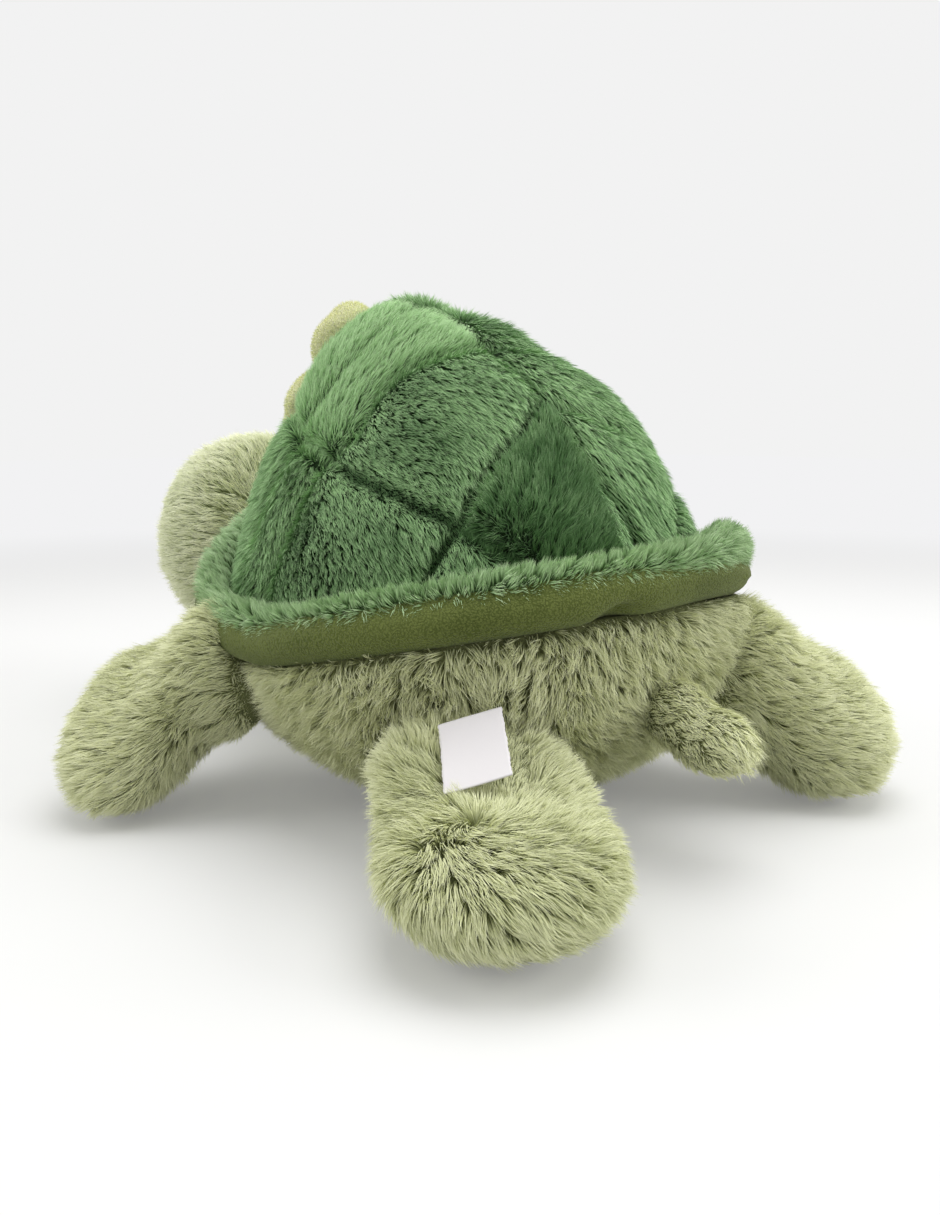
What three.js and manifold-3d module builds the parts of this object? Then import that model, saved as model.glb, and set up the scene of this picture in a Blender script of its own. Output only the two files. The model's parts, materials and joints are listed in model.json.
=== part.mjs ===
// Plush turtle: a stuffed body with four flippers, a head and a tail sewn to it,
// and a quilted, padded shell that sits over its back.
// Millimetres, +Z up. The head looks along -Y and the turtle's left side is +X.
// The origin is the middle of the flat on the belly that the toy rests on.
// Covers are as thick as their fabric and pile together, and are open where they were filled.

import * as THREE from 'three';
import { mergeVertices } from 'three/addons/utils/BufferGeometryUtils.js';
import Module from 'manifold-3d';

const wasm = await Module();
wasm.setup();

// Sizes that the whole toy shares
const gap = 0.35; // between pieces that touch
const jointGap = 0.6; // between a limb's round root and its cup
const swingGap = 1; // between a limb and the shell's edge that it swings past
const coverWall = 11; // backing fabric and pile of the long fur
const pile = 8; // of the long fur alone
const shellWall = 9; // backing fabric and pile of the shell
const restFlat = 0.5; // depth of the flats that the toy rests on
const overrun = 40; // how far a cutting solid runs past what it cuts
const mouthShare = 0.5; // of a limb's root, left open to fill it
const floorShare = 4; // of the body's half sizes, for the cutting floor's width
const nearbyShare = 0.01; // of a surface, for the step that its slope is measured on
const innerMeshShare = 0.6; // of an outer surface's rings, on the surface inside it

// Body
const body = {
  halfWidth: 122,
  halfLength: 124,
  bellyHeight: 90, // floor to the widest place
  backHeight: 66, // widest place to the top of the back, under the shell
  around: 24,
  along: 10,
};
const bodyPlanExponent = 2.3;
const bodyRiseExponent = 2.1;
const fillingHole = { radius: 9, height: 80 }; // sewn up by hand, in the back under the shell
const pelletBag = { halfWidth: 48, halfLength: 58, halfHeight: 16, around: 20, along: 10 };
const bagRiseShare = 0.5; // of its half height, from the belly's cover to its middle
const bodyInnerMesh = { around: 18, along: 8 };

// Shell
const shell = {
  halfWidth: 105,
  halfLength: 117,
  centreY: -10,
  topHeight: 244, // floor to the top of the dome
  rimHeight: 91, // floor to the rim's seam beside the body
  frontRise: 47, // how much the rim arches over the neck
  rearRise: 29, // how much the rim lifts over the tail
  skirt: 3, // how far the dome's edge hangs below the seam
  arch: 30, // how far the underside's middle stands above the seam
  topForward: 50, // how far the top lies ahead of the middle
  panel: 3, // thickness of the velour underneath
  around: 32,
  along: 13,
};
const topCrowdingShare = 0.6; // how much closer the dome's rings lie near its top
const planExponent = 2.33;
const frontExponent = 0.86;
const rearExponent = 2.74;
const edgeExponent = 1.51;
const frontRiseExponent = 4.3;
const rearRiseExponent = 1.05;
const quilt = {
  depth: 6, // of a seam below the padded scutes
  halfWidth: 9, // of the hollow beside a seam
  shift: 12, // how far the pattern's middle sits to the left
};
// Seams in plan as shares of the shell's half width and half length, for the left side
const spineShares = [[0, -0.45], [0, 0.1], [0, 0.6], [0, 1.1]];
const sideSeamShares = [
  [[0.42, -0.66], [0.6, -0.38], [0.72, -0.11], [0.75, 0.27], [0.7, 0.57], [0.6, 0.76], [0.46, 0.98]],
  [[0, 0.59], [0.27, 0.65], [0.59, 0.63], [0.75, 0.59], [1, 0.52]],
  [[0, 0.24], [0.3, 0.16], [0.53, 0.03], [0.66, 0.02], [0.8, -0.15], [1.1, -0.32]],
  [[0, -0.22], [0.14, -0.25], [0.37, -0.29], [0.45, -0.4], [0.6, -0.38], [0.8, -0.6]],
];
const rim = {
  outset: 7.5, // from the dome's edge to the middle of the roll
  halfWidth: 12.5,
  halfHeight: 11.5,
  lift: 7, // middle of the roll above the seam
  around: 32,
  sides: 7,
};
const band = {
  outset: 5.5, // from the dome's edge to the middle of the padded edge
  halfWidth: 14,
  halfHeight: 11,
  lift: -5.5,
  around: 32,
  sides: 6,
};

// Limbs, head and tail: where each is sewn on, where it points and how it swells.
// Degrees are counted from the turtle's left towards its tail, and swing is how far
// each turns down and up, or for the tail to either side. A limb is cut clear of the
// shell at each of those places, so one that runs along its edge has places between.
const frontFlipper = {
  seamHeight: 62,
  standoff: 1,
  reach: 80,
  rootHalfWidth: 34,
  rootRadius: 28,
  halfWidth: 50,
  halfThickness: 29,
  tipRadius: 33,
};
const hindLeftFlipper = {
  seamHeight: 45,
  standoff: 1,
  reach: 100,
  rootHalfWidth: 38,
  rootRadius: 29,
  halfWidth: 45,
  halfThickness: 28,
  tipRadius: 46,
};
const hindRightFlipper = {
  seamHeight: 56,
  standoff: 1,
  reach: 84,
  rootHalfWidth: 36,
  rootRadius: 32,
  halfWidth: 45,
  halfThickness: 30,
  tipRadius: 34,
};
const frontSwing = [20, 15, 10, 5, -5, -10];
const hindSwing = [20, -10];
const limbs = [
  {
    ...frontFlipper, name: 'front_left_flipper',
    seamDegrees: -26, heading: -46, roll: -31, swing: frontSwing,
  },
  {
    ...frontFlipper, name: 'front_right_flipper',
    seamDegrees: 206, heading: 226, roll: 31, swing: frontSwing,
  },
  {
    ...hindLeftFlipper, name: 'hind_left_flipper',
    seamDegrees: 46, heading: 59, roll: -2, swing: hindSwing,
  },
  {
    ...hindRightFlipper, name: 'hind_right_flipper',
    seamDegrees: 129, heading: 143, roll: 28, swing: hindSwing,
  },
];
const limbSwellShare = 0.55;
const limbDropShare = 0.5;
const head = {
  name: 'head', seamDegrees: -90, seamHeight: 86, heading: -90, roll: 0,
  standoff: 1, reach: 158, tipHeight: 108, rootHalfWidth: 34, rootRadius: 31, halfWidth: 62,
  halfThickness: 67, tipRadius: 76, swing: [16, -6],
};
const tail = {
  name: 'tail', seamDegrees: 90, seamHeight: 62, heading: 90, roll: 0,
  standoff: 1, reach: 38, tipHeight: 54, rootHalfWidth: 18, rootRadius: 18, halfWidth: 16,
  halfThickness: 16, tipRadius: 18, wall: 8, swing: [25, -25],
};
const limbMesh = { around: 16, along: 10 };
const cupMesh = { around: 14, along: 7 };
const headMesh = { around: 20, along: 12 };
const tailMesh = { around: 12, along: 8 };

// Safety eyes
const eye = {
  radius: 8,
  rimHeight: 3, // straight edge under the dome
  domeHeight: 6,
  domeSteps: 4,
  shankRadius: 2.4,
  shankEnd: 3, // past the washer
  sides: 14,
};
const eyeTurnShare = 0.07; // round the head, up from its side
const eyeRunShare = 0.76; // along the head
const washer = { radius: 8, thickness: 1.6 };

// Flower sewn to the front of the shell
const flower = {
  petals: 5,
  turnDegrees: 40,
  ringRadius: 37,
  halfLength: 25,
  halfWidth: 21,
  thickness: 16,
  sink: 2, // of the pads into the pile, before they are cut to it
  middleRadius: 14,
  middleThickness: 12,
  around: 12,
  along: 6,
};
const flowerRiseShare = 0.61; // up the front of the dome
const frontShare = 0.75; // round the dome from the turtle's left

// Label sewn to the top of the left hind flipper, lying on it
const label = {
  width: 25,
  length: 34,
  thickness: 0.8,
  travel: 18, // from the flipper's root to the sewn edge
  aside: -7, // from the flipper's middle
  lift: -0.1, // sewn edge above the flipper's round section, whose faces lie inside it
  turn: -13, // from the flipper's heading
  slope: 20,
};

// Colours and finishes
const sageFur = fabric(0xa3ad80);
const paleSageFur = fabric(0xb4bb8c);
const greenFur = fabric(0x437a46);
const mintFur = fabric(0x76ac74);
const oliveVelour = fabric(0x66702f);
const creamVelour = fabric(0xd9da9a);
const whiteFilling = fabric(0xf4f4f0);
const canvas = fabric(0xd8d2c2);
const whiteSatin = new THREE.MeshStandardMaterial({ color: 0xf2f0ea, roughness: 0.5 });
const blackPlastic = new THREE.MeshStandardMaterial({ color: 0x0a0a0a, roughness: 0.15 });
const palePlastic = new THREE.MeshStandardMaterial({ color: 0xe8e8e2, roughness: 0.6 });

function fabric(color) {
  return new THREE.MeshStandardMaterial({ color, roughness: 0.95, metalness: 0 });
}

// Small helpers

const up = new THREE.Vector3(0, 0, 1);
const radians = THREE.MathUtils.degToRad;
const { lerp, clamp } = THREE.MathUtils;

function power(value, exponent) {
  return Math.sign(value) * Math.abs(value) ** exponent;
}

function smooth(share) {
  const held = clamp(share, 0, 1);
  return held * held * (3 - 2 * held);
}

function level(degrees) {
  return new THREE.Vector3(Math.cos(radians(degrees)), Math.sin(radians(degrees)), 0);
}

// A solid from points and faces, turned so that its faces point out
function solidOf(points, faces) {
  const cross = new THREE.Vector3();
  let sixVolumes = 0;
  for (const [a, b, c] of faces) {
    sixVolumes += points[a].dot(cross.crossVectors(points[b], points[c]));
  }
  const turned = sixVolumes < 0 ? faces.map(([a, b, c]) => [a, c, b]) : faces;
  return new wasm.Manifold(new wasm.Mesh({
    numProp: 3,
    vertProperties: Float32Array.from(points.flatMap((point) => point.toArray())),
    triVerts: Uint32Array.from(turned.flat()),
  }));
}

// A closed surface of rings of points between two poles
function closedForm(around, along, pointAt) {
  const points = [pointAt(0, 0)];
  for (let ring = 1; ring < along; ring++) {
    for (let step = 0; step < around; step++) points.push(pointAt(step / around, ring / along));
  }
  points.push(pointAt(0, 1));
  const last = points.length - 1;
  const at = (ring, step) => 1 + (ring - 1) * around + (step % around);
  const faces = [];
  for (let step = 0; step < around; step++) {
    faces.push([0, at(1, step + 1), at(1, step)]);
    for (let ring = 1; ring < along - 1; ring++) {
      faces.push([at(ring, step), at(ring, step + 1), at(ring + 1, step + 1)]);
      faces.push([at(ring, step), at(ring + 1, step + 1), at(ring + 1, step)]);
    }
    faces.push([last, at(along - 1, step), at(along - 1, step + 1)]);
  }
  return solidOf(points, faces);
}

// A closed tube round a loop
function closedLoop(around, sides, pointAt) {
  const points = [];
  for (let step = 0; step < around; step++) {
    for (let side = 0; side < sides; side++) points.push(pointAt(step / around, side / sides));
  }
  const at = (step, side) => (step % around) * sides + (side % sides);
  const faces = [];
  for (let step = 0; step < around; step++) {
    for (let side = 0; side < sides; side++) {
      faces.push([at(step, side), at(step + 1, side), at(step + 1, side + 1)]);
      faces.push([at(step, side), at(step + 1, side + 1), at(step, side + 1)]);
    }
  }
  return solidOf(points, faces);
}

// A solid from a three.js geometry that has been put in place
function solidFrom(geometry) {
  const bare = geometry.clone();
  bare.deleteAttribute('normal');
  bare.deleteAttribute('uv');
  const merged = mergeVertices(bare);
  const { array } = merged.attributes.position;
  const points = Array.from({ length: array.length / 3 }, (_, at) => (
    new THREE.Vector3().fromArray(array, at * 3)
  ));
  const corners = merged.index.array;
  const faces = Array.from({ length: corners.length / 3 }, (_, at) => (
    [corners[at * 3], corners[at * 3 + 1], corners[at * 3 + 2]]
  ));
  return solidOf(points, faces.filter(([a, b, c]) => a !== b && b !== c && c !== a));
}

// A round bar that starts at a point and runs in a direction
function bar(from, direction, radius, length, sides = eye.sides) {
  const geometry = new THREE.CylinderGeometry(radius, radius, length, sides);
  geometry.translate(0, length / 2, 0);
  const turn = new THREE.Quaternion().setFromUnitVectors(new THREE.Vector3(0, 1, 0), direction);
  geometry.applyQuaternion(turn).translate(from.x, from.y, from.z);
  return solidFrom(geometry);
}

function cutAll(solid, cutters) {
  return cutters.reduce((rest, cutter) => rest.subtract(cutter), solid);
}

// Only the largest of the closed pieces that a cut leaves
function mainPiece(solid) {
  return solid.decompose().sort((one, other) => other.volume() - one.volume())[0];
}

// A solid turned about a line by so many degrees
function turned(solid, origin, axis, degrees) {
  const matrix = new THREE.Matrix4().makeTranslation(origin)
    .multiply(new THREE.Matrix4().makeRotationAxis(axis, radians(degrees)))
    .multiply(new THREE.Matrix4().makeTranslation(origin.clone().negate()));
  return solid.transform(matrix.toArray());
}

function meshOf(name, solid, material) {
  const { numProp, vertProperties, triVerts } = mainPiece(solid).getMesh();
  const positions = new Float32Array((vertProperties.length / numProp) * 3);
  for (let vertex = 0; vertex * 3 < positions.length; vertex++) {
    positions.set(vertProperties.slice(vertex * numProp, vertex * numProp + 3), vertex * 3);
  }
  const geometry = new THREE.BufferGeometry();
  geometry.setAttribute('position', new THREE.BufferAttribute(positions, 3));
  geometry.setIndex(new THREE.BufferAttribute(Uint32Array.from(triVerts), 1));
  geometry.computeVertexNormals();
  const mesh = new THREE.Mesh(geometry, material);
  mesh.name = name;
  return mesh;
}

// Everything under the floor
function underFloor() {
  const wide = floorShare * (body.halfWidth + body.halfLength);
  const geometry = new THREE.BoxGeometry(wide, wide, overrun);
  geometry.translate(0, 0, -overrun / 2);
  return solidFrom(geometry);
}

// Body form

function bodyForm(grow, around = body.around, along = body.along) {
  const planShare = 2 / bodyPlanExponent;
  const riseShare = 2 / bodyRiseExponent;
  return closedForm(around, along, (turn, run) => {
    const plan = 2 * Math.PI * turn;
    const rise = Math.PI * (run - 0.5);
    const width = power(Math.cos(rise), riseShare);
    const halfHeight = rise > 0 ? body.backHeight : body.bellyHeight;
    return new THREE.Vector3(
      (body.halfWidth + grow) * width * power(Math.cos(plan), planShare),
      (body.halfLength + grow) * width * power(Math.sin(plan), planShare),
      body.bellyHeight - restFlat + (halfHeight + grow) * power(Math.sin(rise), riseShare),
    );
  });
}

// The bag of pellets that weighs the belly down, lying on its cover
function pelletForm(grow) {
  const { halfWidth, halfLength, halfHeight, around, along } = pelletBag;
  const geometry = new THREE.SphereGeometry(1, around, along);
  geometry.scale(halfWidth + grow, halfLength + grow, halfHeight + grow);
  geometry.translate(0, 0, coverWall + halfHeight * bagRiseShare);
  return solidFrom(geometry);
}

// Where a level line out from the body's middle leaves the body, and a little past it
function bodySurface(degrees, height, standoff) {
  const rise = (height + restFlat - body.bellyHeight)
    / (height > body.bellyHeight ? body.backHeight : body.bellyHeight);
  const width = (1 - Math.abs(rise) ** bodyRiseExponent) ** (1 / bodyRiseExponent);
  const out = level(degrees);
  const plan = Math.abs(out.x / body.halfWidth) ** bodyPlanExponent
    + Math.abs(out.y / body.halfLength) ** bodyPlanExponent;
  return out.multiplyScalar(width / plan ** (1 / bodyPlanExponent) + standoff).setZ(height);
}

// Limb, head and tail forms: a round root behind the seam, a swelling run and a round tip

function limbFrame(spec) {
  const root = bodySurface(spec.seamDegrees, spec.seamHeight, spec.standoff);
  root.z -= restFlat;
  const heading = level(spec.heading);
  const side = new THREE.Vector3().crossVectors(up, heading);
  side.applyAxisAngle(heading, radians(spec.roll));
  const top = new THREE.Vector3().crossVectors(heading, side);
  return { root, heading, side, top };
}

// How high a flipper's middle lies when it rests on the floor
function restingHeight({ halfWidth, halfThickness, roll }) {
  return Math.hypot(halfWidth * Math.sin(radians(roll)), halfThickness * Math.cos(radians(roll)));
}

// A limb's section so far from its root: its middle and its half width and thickness.
// An inset surface starts in front of the seam, clear of the round root.
function limbSection(spec, travel, inset) {
  const { root, heading } = limbFrame(spec);
  const { tipHeight = restingHeight(spec) } = spec;
  const start = inset > 0 ? inset : -spec.rootRadius;
  const end = spec.reach - inset;
  const before = clamp(1 - (travel - start) / spec.rootRadius, 0, 1);
  const past = clamp(1 - (end - travel) / (spec.tipRadius - inset), 0, 1);
  const closing = Math.sqrt((1 - before * before) * (1 - past * past));
  const swell = smooth(travel / (spec.reach * limbSwellShare));
  const drop = (tipHeight - spec.seamHeight) * smooth(travel / (spec.reach * limbDropShare));
  return {
    middle: root.addScaledVector(heading, travel).addScaledVector(up, drop),
    across: (lerp(spec.rootHalfWidth, spec.halfWidth, swell) - inset) * closing,
    deep: (lerp(spec.rootRadius, spec.halfThickness, swell) - inset) * closing,
  };
}

// A point on a limb: turn goes round it and run goes from its root to its tip
function limbPoint(spec, turn, run, inset) {
  const { side, top } = limbFrame(spec);
  const start = inset > 0 ? inset : -spec.rootRadius;
  const travel = lerp(start, spec.reach - inset, (1 - Math.cos(Math.PI * run)) / 2);
  const { middle, across, deep } = limbSection(spec, travel, inset);
  return middle
    .addScaledVector(side, across * Math.cos(2 * Math.PI * turn))
    .addScaledVector(top, deep * Math.sin(2 * Math.PI * turn));
}

function limbForm(spec, mesh, inset, finenessShare = 1) {
  const around = Math.round(mesh.around * finenessShare);
  const along = Math.round(mesh.along * finenessShare);
  return closedForm(around, along, (turn, run) => limbPoint(spec, turn, run, inset));
}

// The space that the round root turns in, its faces just outside the true round
function rootBall(spec, grow) {
  const { root, heading, side, top } = limbFrame(spec);
  const { around, along } = cupMesh;
  const outside = 1 / (Math.cos(Math.PI / around) * Math.cos(Math.PI / (2 * along)));
  const radius = (spec.rootRadius + grow) * outside;
  const geometry = new THREE.SphereGeometry(1, around, along);
  geometry.scale((spec.rootHalfWidth + grow) * outside, radius, radius);
  geometry.applyMatrix4(new THREE.Matrix4().makeBasis(side, top, heading));
  geometry.translate(root.x, root.y, root.z);
  return solidFrom(geometry);
}

// The line that a limb turns about
function limbHinge(spec) {
  const { root, side } = limbFrame(spec);
  return { origin: root, axis: spec === tail ? up.clone() : side };
}

// A limb's cover and filling, clear of the body and the shell wherever the limb swings
function stuffedLimb(spec, mesh, bodyNear, shellNear) {
  const { origin, axis } = limbHinge(spec);
  const { wall = coverWall } = spec;
  const still = bodyNear.subtract(rootBall(spec, 0)).add(shellNear);
  const cutters = [0, ...spec.swing].map((degrees) => turned(still, origin, axis, -degrees));
  const outer = cutAll(limbForm(spec, mesh, 0), [underFloor(), ...cutters]);
  const { heading } = limbFrame(spec);
  const mouth = bar(
    origin.clone().addScaledVector(heading, 2 * wall),
    heading.clone().negate(),
    spec.rootRadius * mouthShare,
    2 * wall + spec.rootRadius + overrun,
  );
  const cover = outer.subtract(limbForm(spec, mesh, wall, innerMeshShare)).subtract(mouth);
  const filling = limbForm(spec, mesh, wall + gap, innerMeshShare);
  return { cover, filling };
}

// Shell forms

function rimHeightAt(sine) {
  return shell.rimHeight
    + shell.frontRise * Math.max(0, -sine) ** frontRiseExponent
    + shell.rearRise * Math.max(0, sine) ** rearRiseExponent;
}

function planShares(turn) {
  const share = 2 / planExponent;
  return [power(Math.cos(2 * Math.PI * turn), share), power(Math.sin(2 * Math.PI * turn), share)];
}

function domePoint(turn, rise, grow) {
  const [cosine, sine] = planShares(turn);
  const middleExponent = (frontExponent + rearExponent) / 2;
  const exponent = lerp(middleExponent, rearExponent, sine);
  const width = Math.max(0, 1 - rise ** exponent) ** (1 / edgeExponent);
  return new THREE.Vector3(
    (shell.halfWidth + grow) * cosine * width,
    shell.centreY + (shell.halfLength + grow) * sine * width - shell.topForward * rise,
    lerp(rimHeightAt(sine) - shell.skirt, shell.topHeight + grow, rise),
  );
}

// The quilting seams in plan: one along the back and the side seams, mirrored
function quiltSeams() {
  const onShell = ([across, along]) => new THREE.Vector3(
    across * shell.halfWidth + quilt.shift * (1 - Math.min(1, Math.abs(across))),
    shell.centreY + along * shell.halfLength,
    0,
  );
  const mirrored = sideSeamShares.map((seam) => seam.map(([across, along]) => [-across, along]));
  return [spineShares, ...sideSeamShares, ...mirrored].map((seam) => seam.map(onShell));
}

function seamDistance(place, seams) {
  const line = new THREE.Line3();
  const closest = new THREE.Vector3();
  const flat = place.clone().setZ(0);
  let nearest = Infinity;
  for (const seam of seams) {
    for (let point = 1; point < seam.length; point++) {
      line.set(seam[point - 1], seam[point]).closestPointToPoint(flat, true, closest);
      nearest = Math.min(nearest, closest.distanceTo(flat));
    }
  }
  return nearest;
}

// The padded dome, closed underneath by a low tent over the turtle's back. Domes of every
// size share that tent, and a drop lowers it on a straight skirt.
function domeForm(grow, drop, finenessShare = 1, seams = []) {
  const along = Math.round(shell.along * finenessShare);
  const skirtRings = drop > 0 ? 1 : 0;
  const rings = along + 1 + skirtRings;
  const under = new THREE.Vector3(0, shell.centreY, shell.rimHeight + shell.arch - drop);
  const spread = 1 + grow / shell.halfWidth;
  return closedForm(shell.around, rings, (turn, run) => {
    const ring = Math.round(run * rings);
    if (ring === 0) return under;
    const climb = Math.max(0, ring - 1 - skirtRings) / along;
    const rise = lerp(climb, 1 - (1 - climb) ** 2, topCrowdingShare);
    const point = domePoint(turn, rise, grow);
    if (climb === 0) point.z += (under.z + drop - point.z) * (1 - spread);
    if (ring === 1) point.z -= drop;
    const nearness = seamDistance(point, seams) / quilt.halfWidth;
    const hollow = quilt.depth * Math.exp(-nearness * nearness) * smooth(climb * along / 2);
    return point.addScaledVector(point.clone().sub(under).normalize(), -hollow);
  });
}

// A padded ring along the shell's rim
function rimTube(spec, grow) {
  return closedLoop(spec.around, spec.sides, (turn, side) => {
    const [cosine, sine] = planShares(turn);
    const out = spec.outset + (spec.halfWidth + grow) * Math.cos(2 * Math.PI * side);
    return new THREE.Vector3(
      (shell.halfWidth + out) * cosine,
      shell.centreY + (shell.halfLength + out) * sine,
      rimHeightAt(sine) + spec.lift + (spec.halfHeight + grow) * Math.sin(2 * Math.PI * side),
    );
  });
}

// Flower: puffed petals and a middle that lie on the dome

// Finds places on the dome, looking out from a point inside it through the plane that
// touches its front at the flower's middle, so far across and up from there
function domeSeat(dome) {
  const middle = domePoint(frontShare, flowerRiseShare, 0);
  const higher = domePoint(frontShare, flowerRiseShare + nearbyShare, 0);
  const upward = higher.sub(middle).normalize();
  const across = new THREE.Vector3(1, 0, 0);
  const inside = new THREE.Vector3(0, shell.centreY - shell.topForward * flowerRiseShare, middle.z);
  const surface = meshOf('surface', dome, new THREE.MeshStandardMaterial({ side: THREE.DoubleSide }));
  const ray = new THREE.Raycaster();
  return (sideways, upwards, height) => {
    const aim = middle.clone().addScaledVector(across, sideways).addScaledVector(upward, upwards);
    const direction = aim.sub(inside).normalize();
    ray.set(inside, direction);
    return ray.intersectObject(surface)[0].point.addScaledVector(direction, height);
  };
}

// A round pad on the dome, flat underneath, so far from the flower's middle at an angle
function petalPad(seat, halfLength, halfWidth, thickness, distance, angle) {
  return closedForm(flower.around, flower.along, (turn, run) => {
    const reach = 1 - Math.abs(2 * run - 1);
    const height = run > 0.5 ? thickness * Math.sqrt(1 - reach * reach) : 0;
    const along = distance + halfLength * reach * Math.cos(2 * Math.PI * turn);
    const aside = halfWidth * reach * Math.sin(2 * Math.PI * turn);
    return seat(
      along * Math.sin(angle) + aside * Math.cos(angle),
      along * Math.cos(angle) - aside * Math.sin(angle),
      height - flower.sink,
    );
  });
}

function flowerPieces(dome) {
  const seat = domeSeat(dome);
  const { halfLength, halfWidth, thickness, ringRadius, middleRadius, middleThickness } = flower;
  const round = (grow) => (
    petalPad(seat, middleRadius + grow, middleRadius + grow, middleThickness + grow, 0, 0)
  );
  const pieces = [meshOf('flower_middle', round(0).subtract(dome), creamVelour)];
  for (let petal = 0; petal < flower.petals; petal++) {
    const angle = 2 * Math.PI * petal / flower.petals + radians(flower.turnDegrees);
    const pad = petalPad(seat, halfLength, halfWidth, thickness, ringRadius, angle);
    const solid = cutAll(pad, [round(gap), dome, rimTube(rim, gap)]);
    pieces.push(meshOf(`flower_petal_${petal + 1}`, solid, creamVelour));
  }
  return pieces;
}

// Eyes: a dome seated in the pile, a shank through the cover and a washer behind it

function eyeFrame(turn) {
  const place = limbPoint(head, turn, eyeRunShare, 0);
  const round = limbPoint(head, turn + nearbyShare, eyeRunShare, 0).sub(place);
  const forward = limbPoint(head, turn, eyeRunShare + nearbyShare, 0).sub(place);
  const outward = new THREE.Vector3().crossVectors(forward, round).normalize();
  if (outward.y > 0) outward.negate();
  return { place, outward, inward: outward.clone().negate() };
}

function eyeSolid(seat, outward) {
  const profile = [new THREE.Vector2(0, 0), new THREE.Vector2(eye.radius, 0)];
  for (let step = 0; step < eye.domeSteps; step++) {
    const angle = (Math.PI / 2) * (step / eye.domeSteps);
    const height = eye.rimHeight + eye.domeHeight * Math.sin(angle);
    profile.push(new THREE.Vector2(eye.radius * Math.cos(angle), height));
  }
  profile.push(new THREE.Vector2(0, eye.rimHeight + eye.domeHeight));
  const geometry = new THREE.LatheGeometry(profile, eye.sides);
  const turn = new THREE.Quaternion().setFromUnitVectors(new THREE.Vector3(0, 1, 0), outward);
  geometry.applyQuaternion(turn).translate(seat.x, seat.y, seat.z);
  return solidFrom(geometry);
}

function eyePieces(turn) {
  const { place, outward, inward } = eyeFrame(turn);
  const seat = place.clone().addScaledVector(inward, pile);
  const hold = seat.clone().addScaledVector(outward, eye.rimHeight);
  const back = place.clone().addScaledVector(inward, coverWall);
  const behind = back.clone().addScaledVector(inward, gap);
  const shankLength = eye.rimHeight + coverWall - pile + washer.thickness + eye.shankEnd;
  const hole = bar(hold, inward, eye.shankRadius + gap, shankLength + gap);
  const pocketDepth = gap + washer.thickness + eye.shankEnd + gap;
  const pocket = bar(back, inward, washer.radius + gap, pocketDepth);
  const socketSeat = seat.clone().addScaledVector(inward, gap);
  return {
    solid: eyeSolid(seat, outward).add(bar(hold, inward, eye.shankRadius, shankLength)),
    washer: bar(behind, inward, washer.radius, washer.thickness).subtract(hole),
    cut: bar(socketSeat, outward, eye.radius + gap, pile + overrun).add(hole).add(pocket),
  };
}

// Label: a flat tab whose sewn edge lies on a flipper
function labelMesh(spec) {
  const { side, top } = limbFrame(spec);
  const facing = level(spec.heading + label.turn);
  const edge = new THREE.Vector3().crossVectors(facing, up);
  const run = facing.multiplyScalar(Math.cos(radians(label.slope)))
    .addScaledVector(up, -Math.sin(radians(label.slope)));
  const face = new THREE.Vector3().crossVectors(edge, run);
  const { middle, deep } = limbSection(spec, label.travel, 0);
  middle.addScaledVector(side, label.aside).addScaledVector(top, deep + label.lift);
  const geometry = new THREE.BoxGeometry(label.width, label.length, label.thickness);
  geometry.translate(0, label.length / 2, 0);
  const mesh = new THREE.Mesh(geometry, whiteSatin);
  mesh.name = 'sewn_label';
  mesh.applyMatrix4(new THREE.Matrix4().makeBasis(edge, run, face));
  mesh.position.copy(middle);
  return mesh;
}

// The whole toy

const turtle = new THREE.Group();
const seams = quiltSeams();
const stuffed = [...limbs, head, tail];

const panelDrop = gap + shell.panel;
const shellOuter = (grow) => (
  domeForm(grow, panelDrop + grow).add(rimTube(rim, grow)).add(rimTube(band, grow))
);
const bodyOuter = cutAll(bodyForm(0), [underFloor(), shellOuter(gap)]);
const bodyAround = bodyForm(gap);
const shellAround = shellOuter(swingGap);

const shellInset = (depth) => (
  domeForm(depth, panelDrop + depth, innerMeshShare).add(rimTube(band, depth))
);
const innerForm = (inset) => bodyForm(-coverWall - inset, bodyInnerMesh.around, bodyInnerMesh.along);
const bodyInside = (inset) => cutAll(
  innerForm(inset).subtract(shellInset(coverWall + inset)),
  stuffed.map((spec) => rootBall(spec, coverWall + jointGap + inset)),
);
const backHole = bar(
  new THREE.Vector3(0, shell.centreY, shell.rimHeight), up, fillingHole.radius, fillingHole.height,
);

const bodyCover = cutAll(bodyOuter, [
  bodyInside(0), backHole, ...stuffed.map((spec) => rootBall(spec, jointGap)),
]);
turtle.add(
  meshOf('body_cover', bodyCover, sageFur),
  meshOf('body_filling', bodyInside(gap).subtract(pelletForm(gap)), whiteFilling),
  meshOf('pellet_bag', pelletForm(0).intersect(innerForm(gap)), canvas),
);

for (const spec of limbs) {
  const { cover, filling } = stuffedLimb(spec, limbMesh, bodyAround, shellAround);
  turtle.add(meshOf(`${spec.name}_cover`, cover, sageFur));
  turtle.add(meshOf(`${spec.name}_filling`, filling, whiteFilling));
}

const tailParts = stuffedLimb(tail, tailMesh, bodyAround, shellAround);
turtle.add(
  meshOf('tail_cover', tailParts.cover, sageFur),
  meshOf('tail_filling', tailParts.filling, whiteFilling),
);

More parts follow.
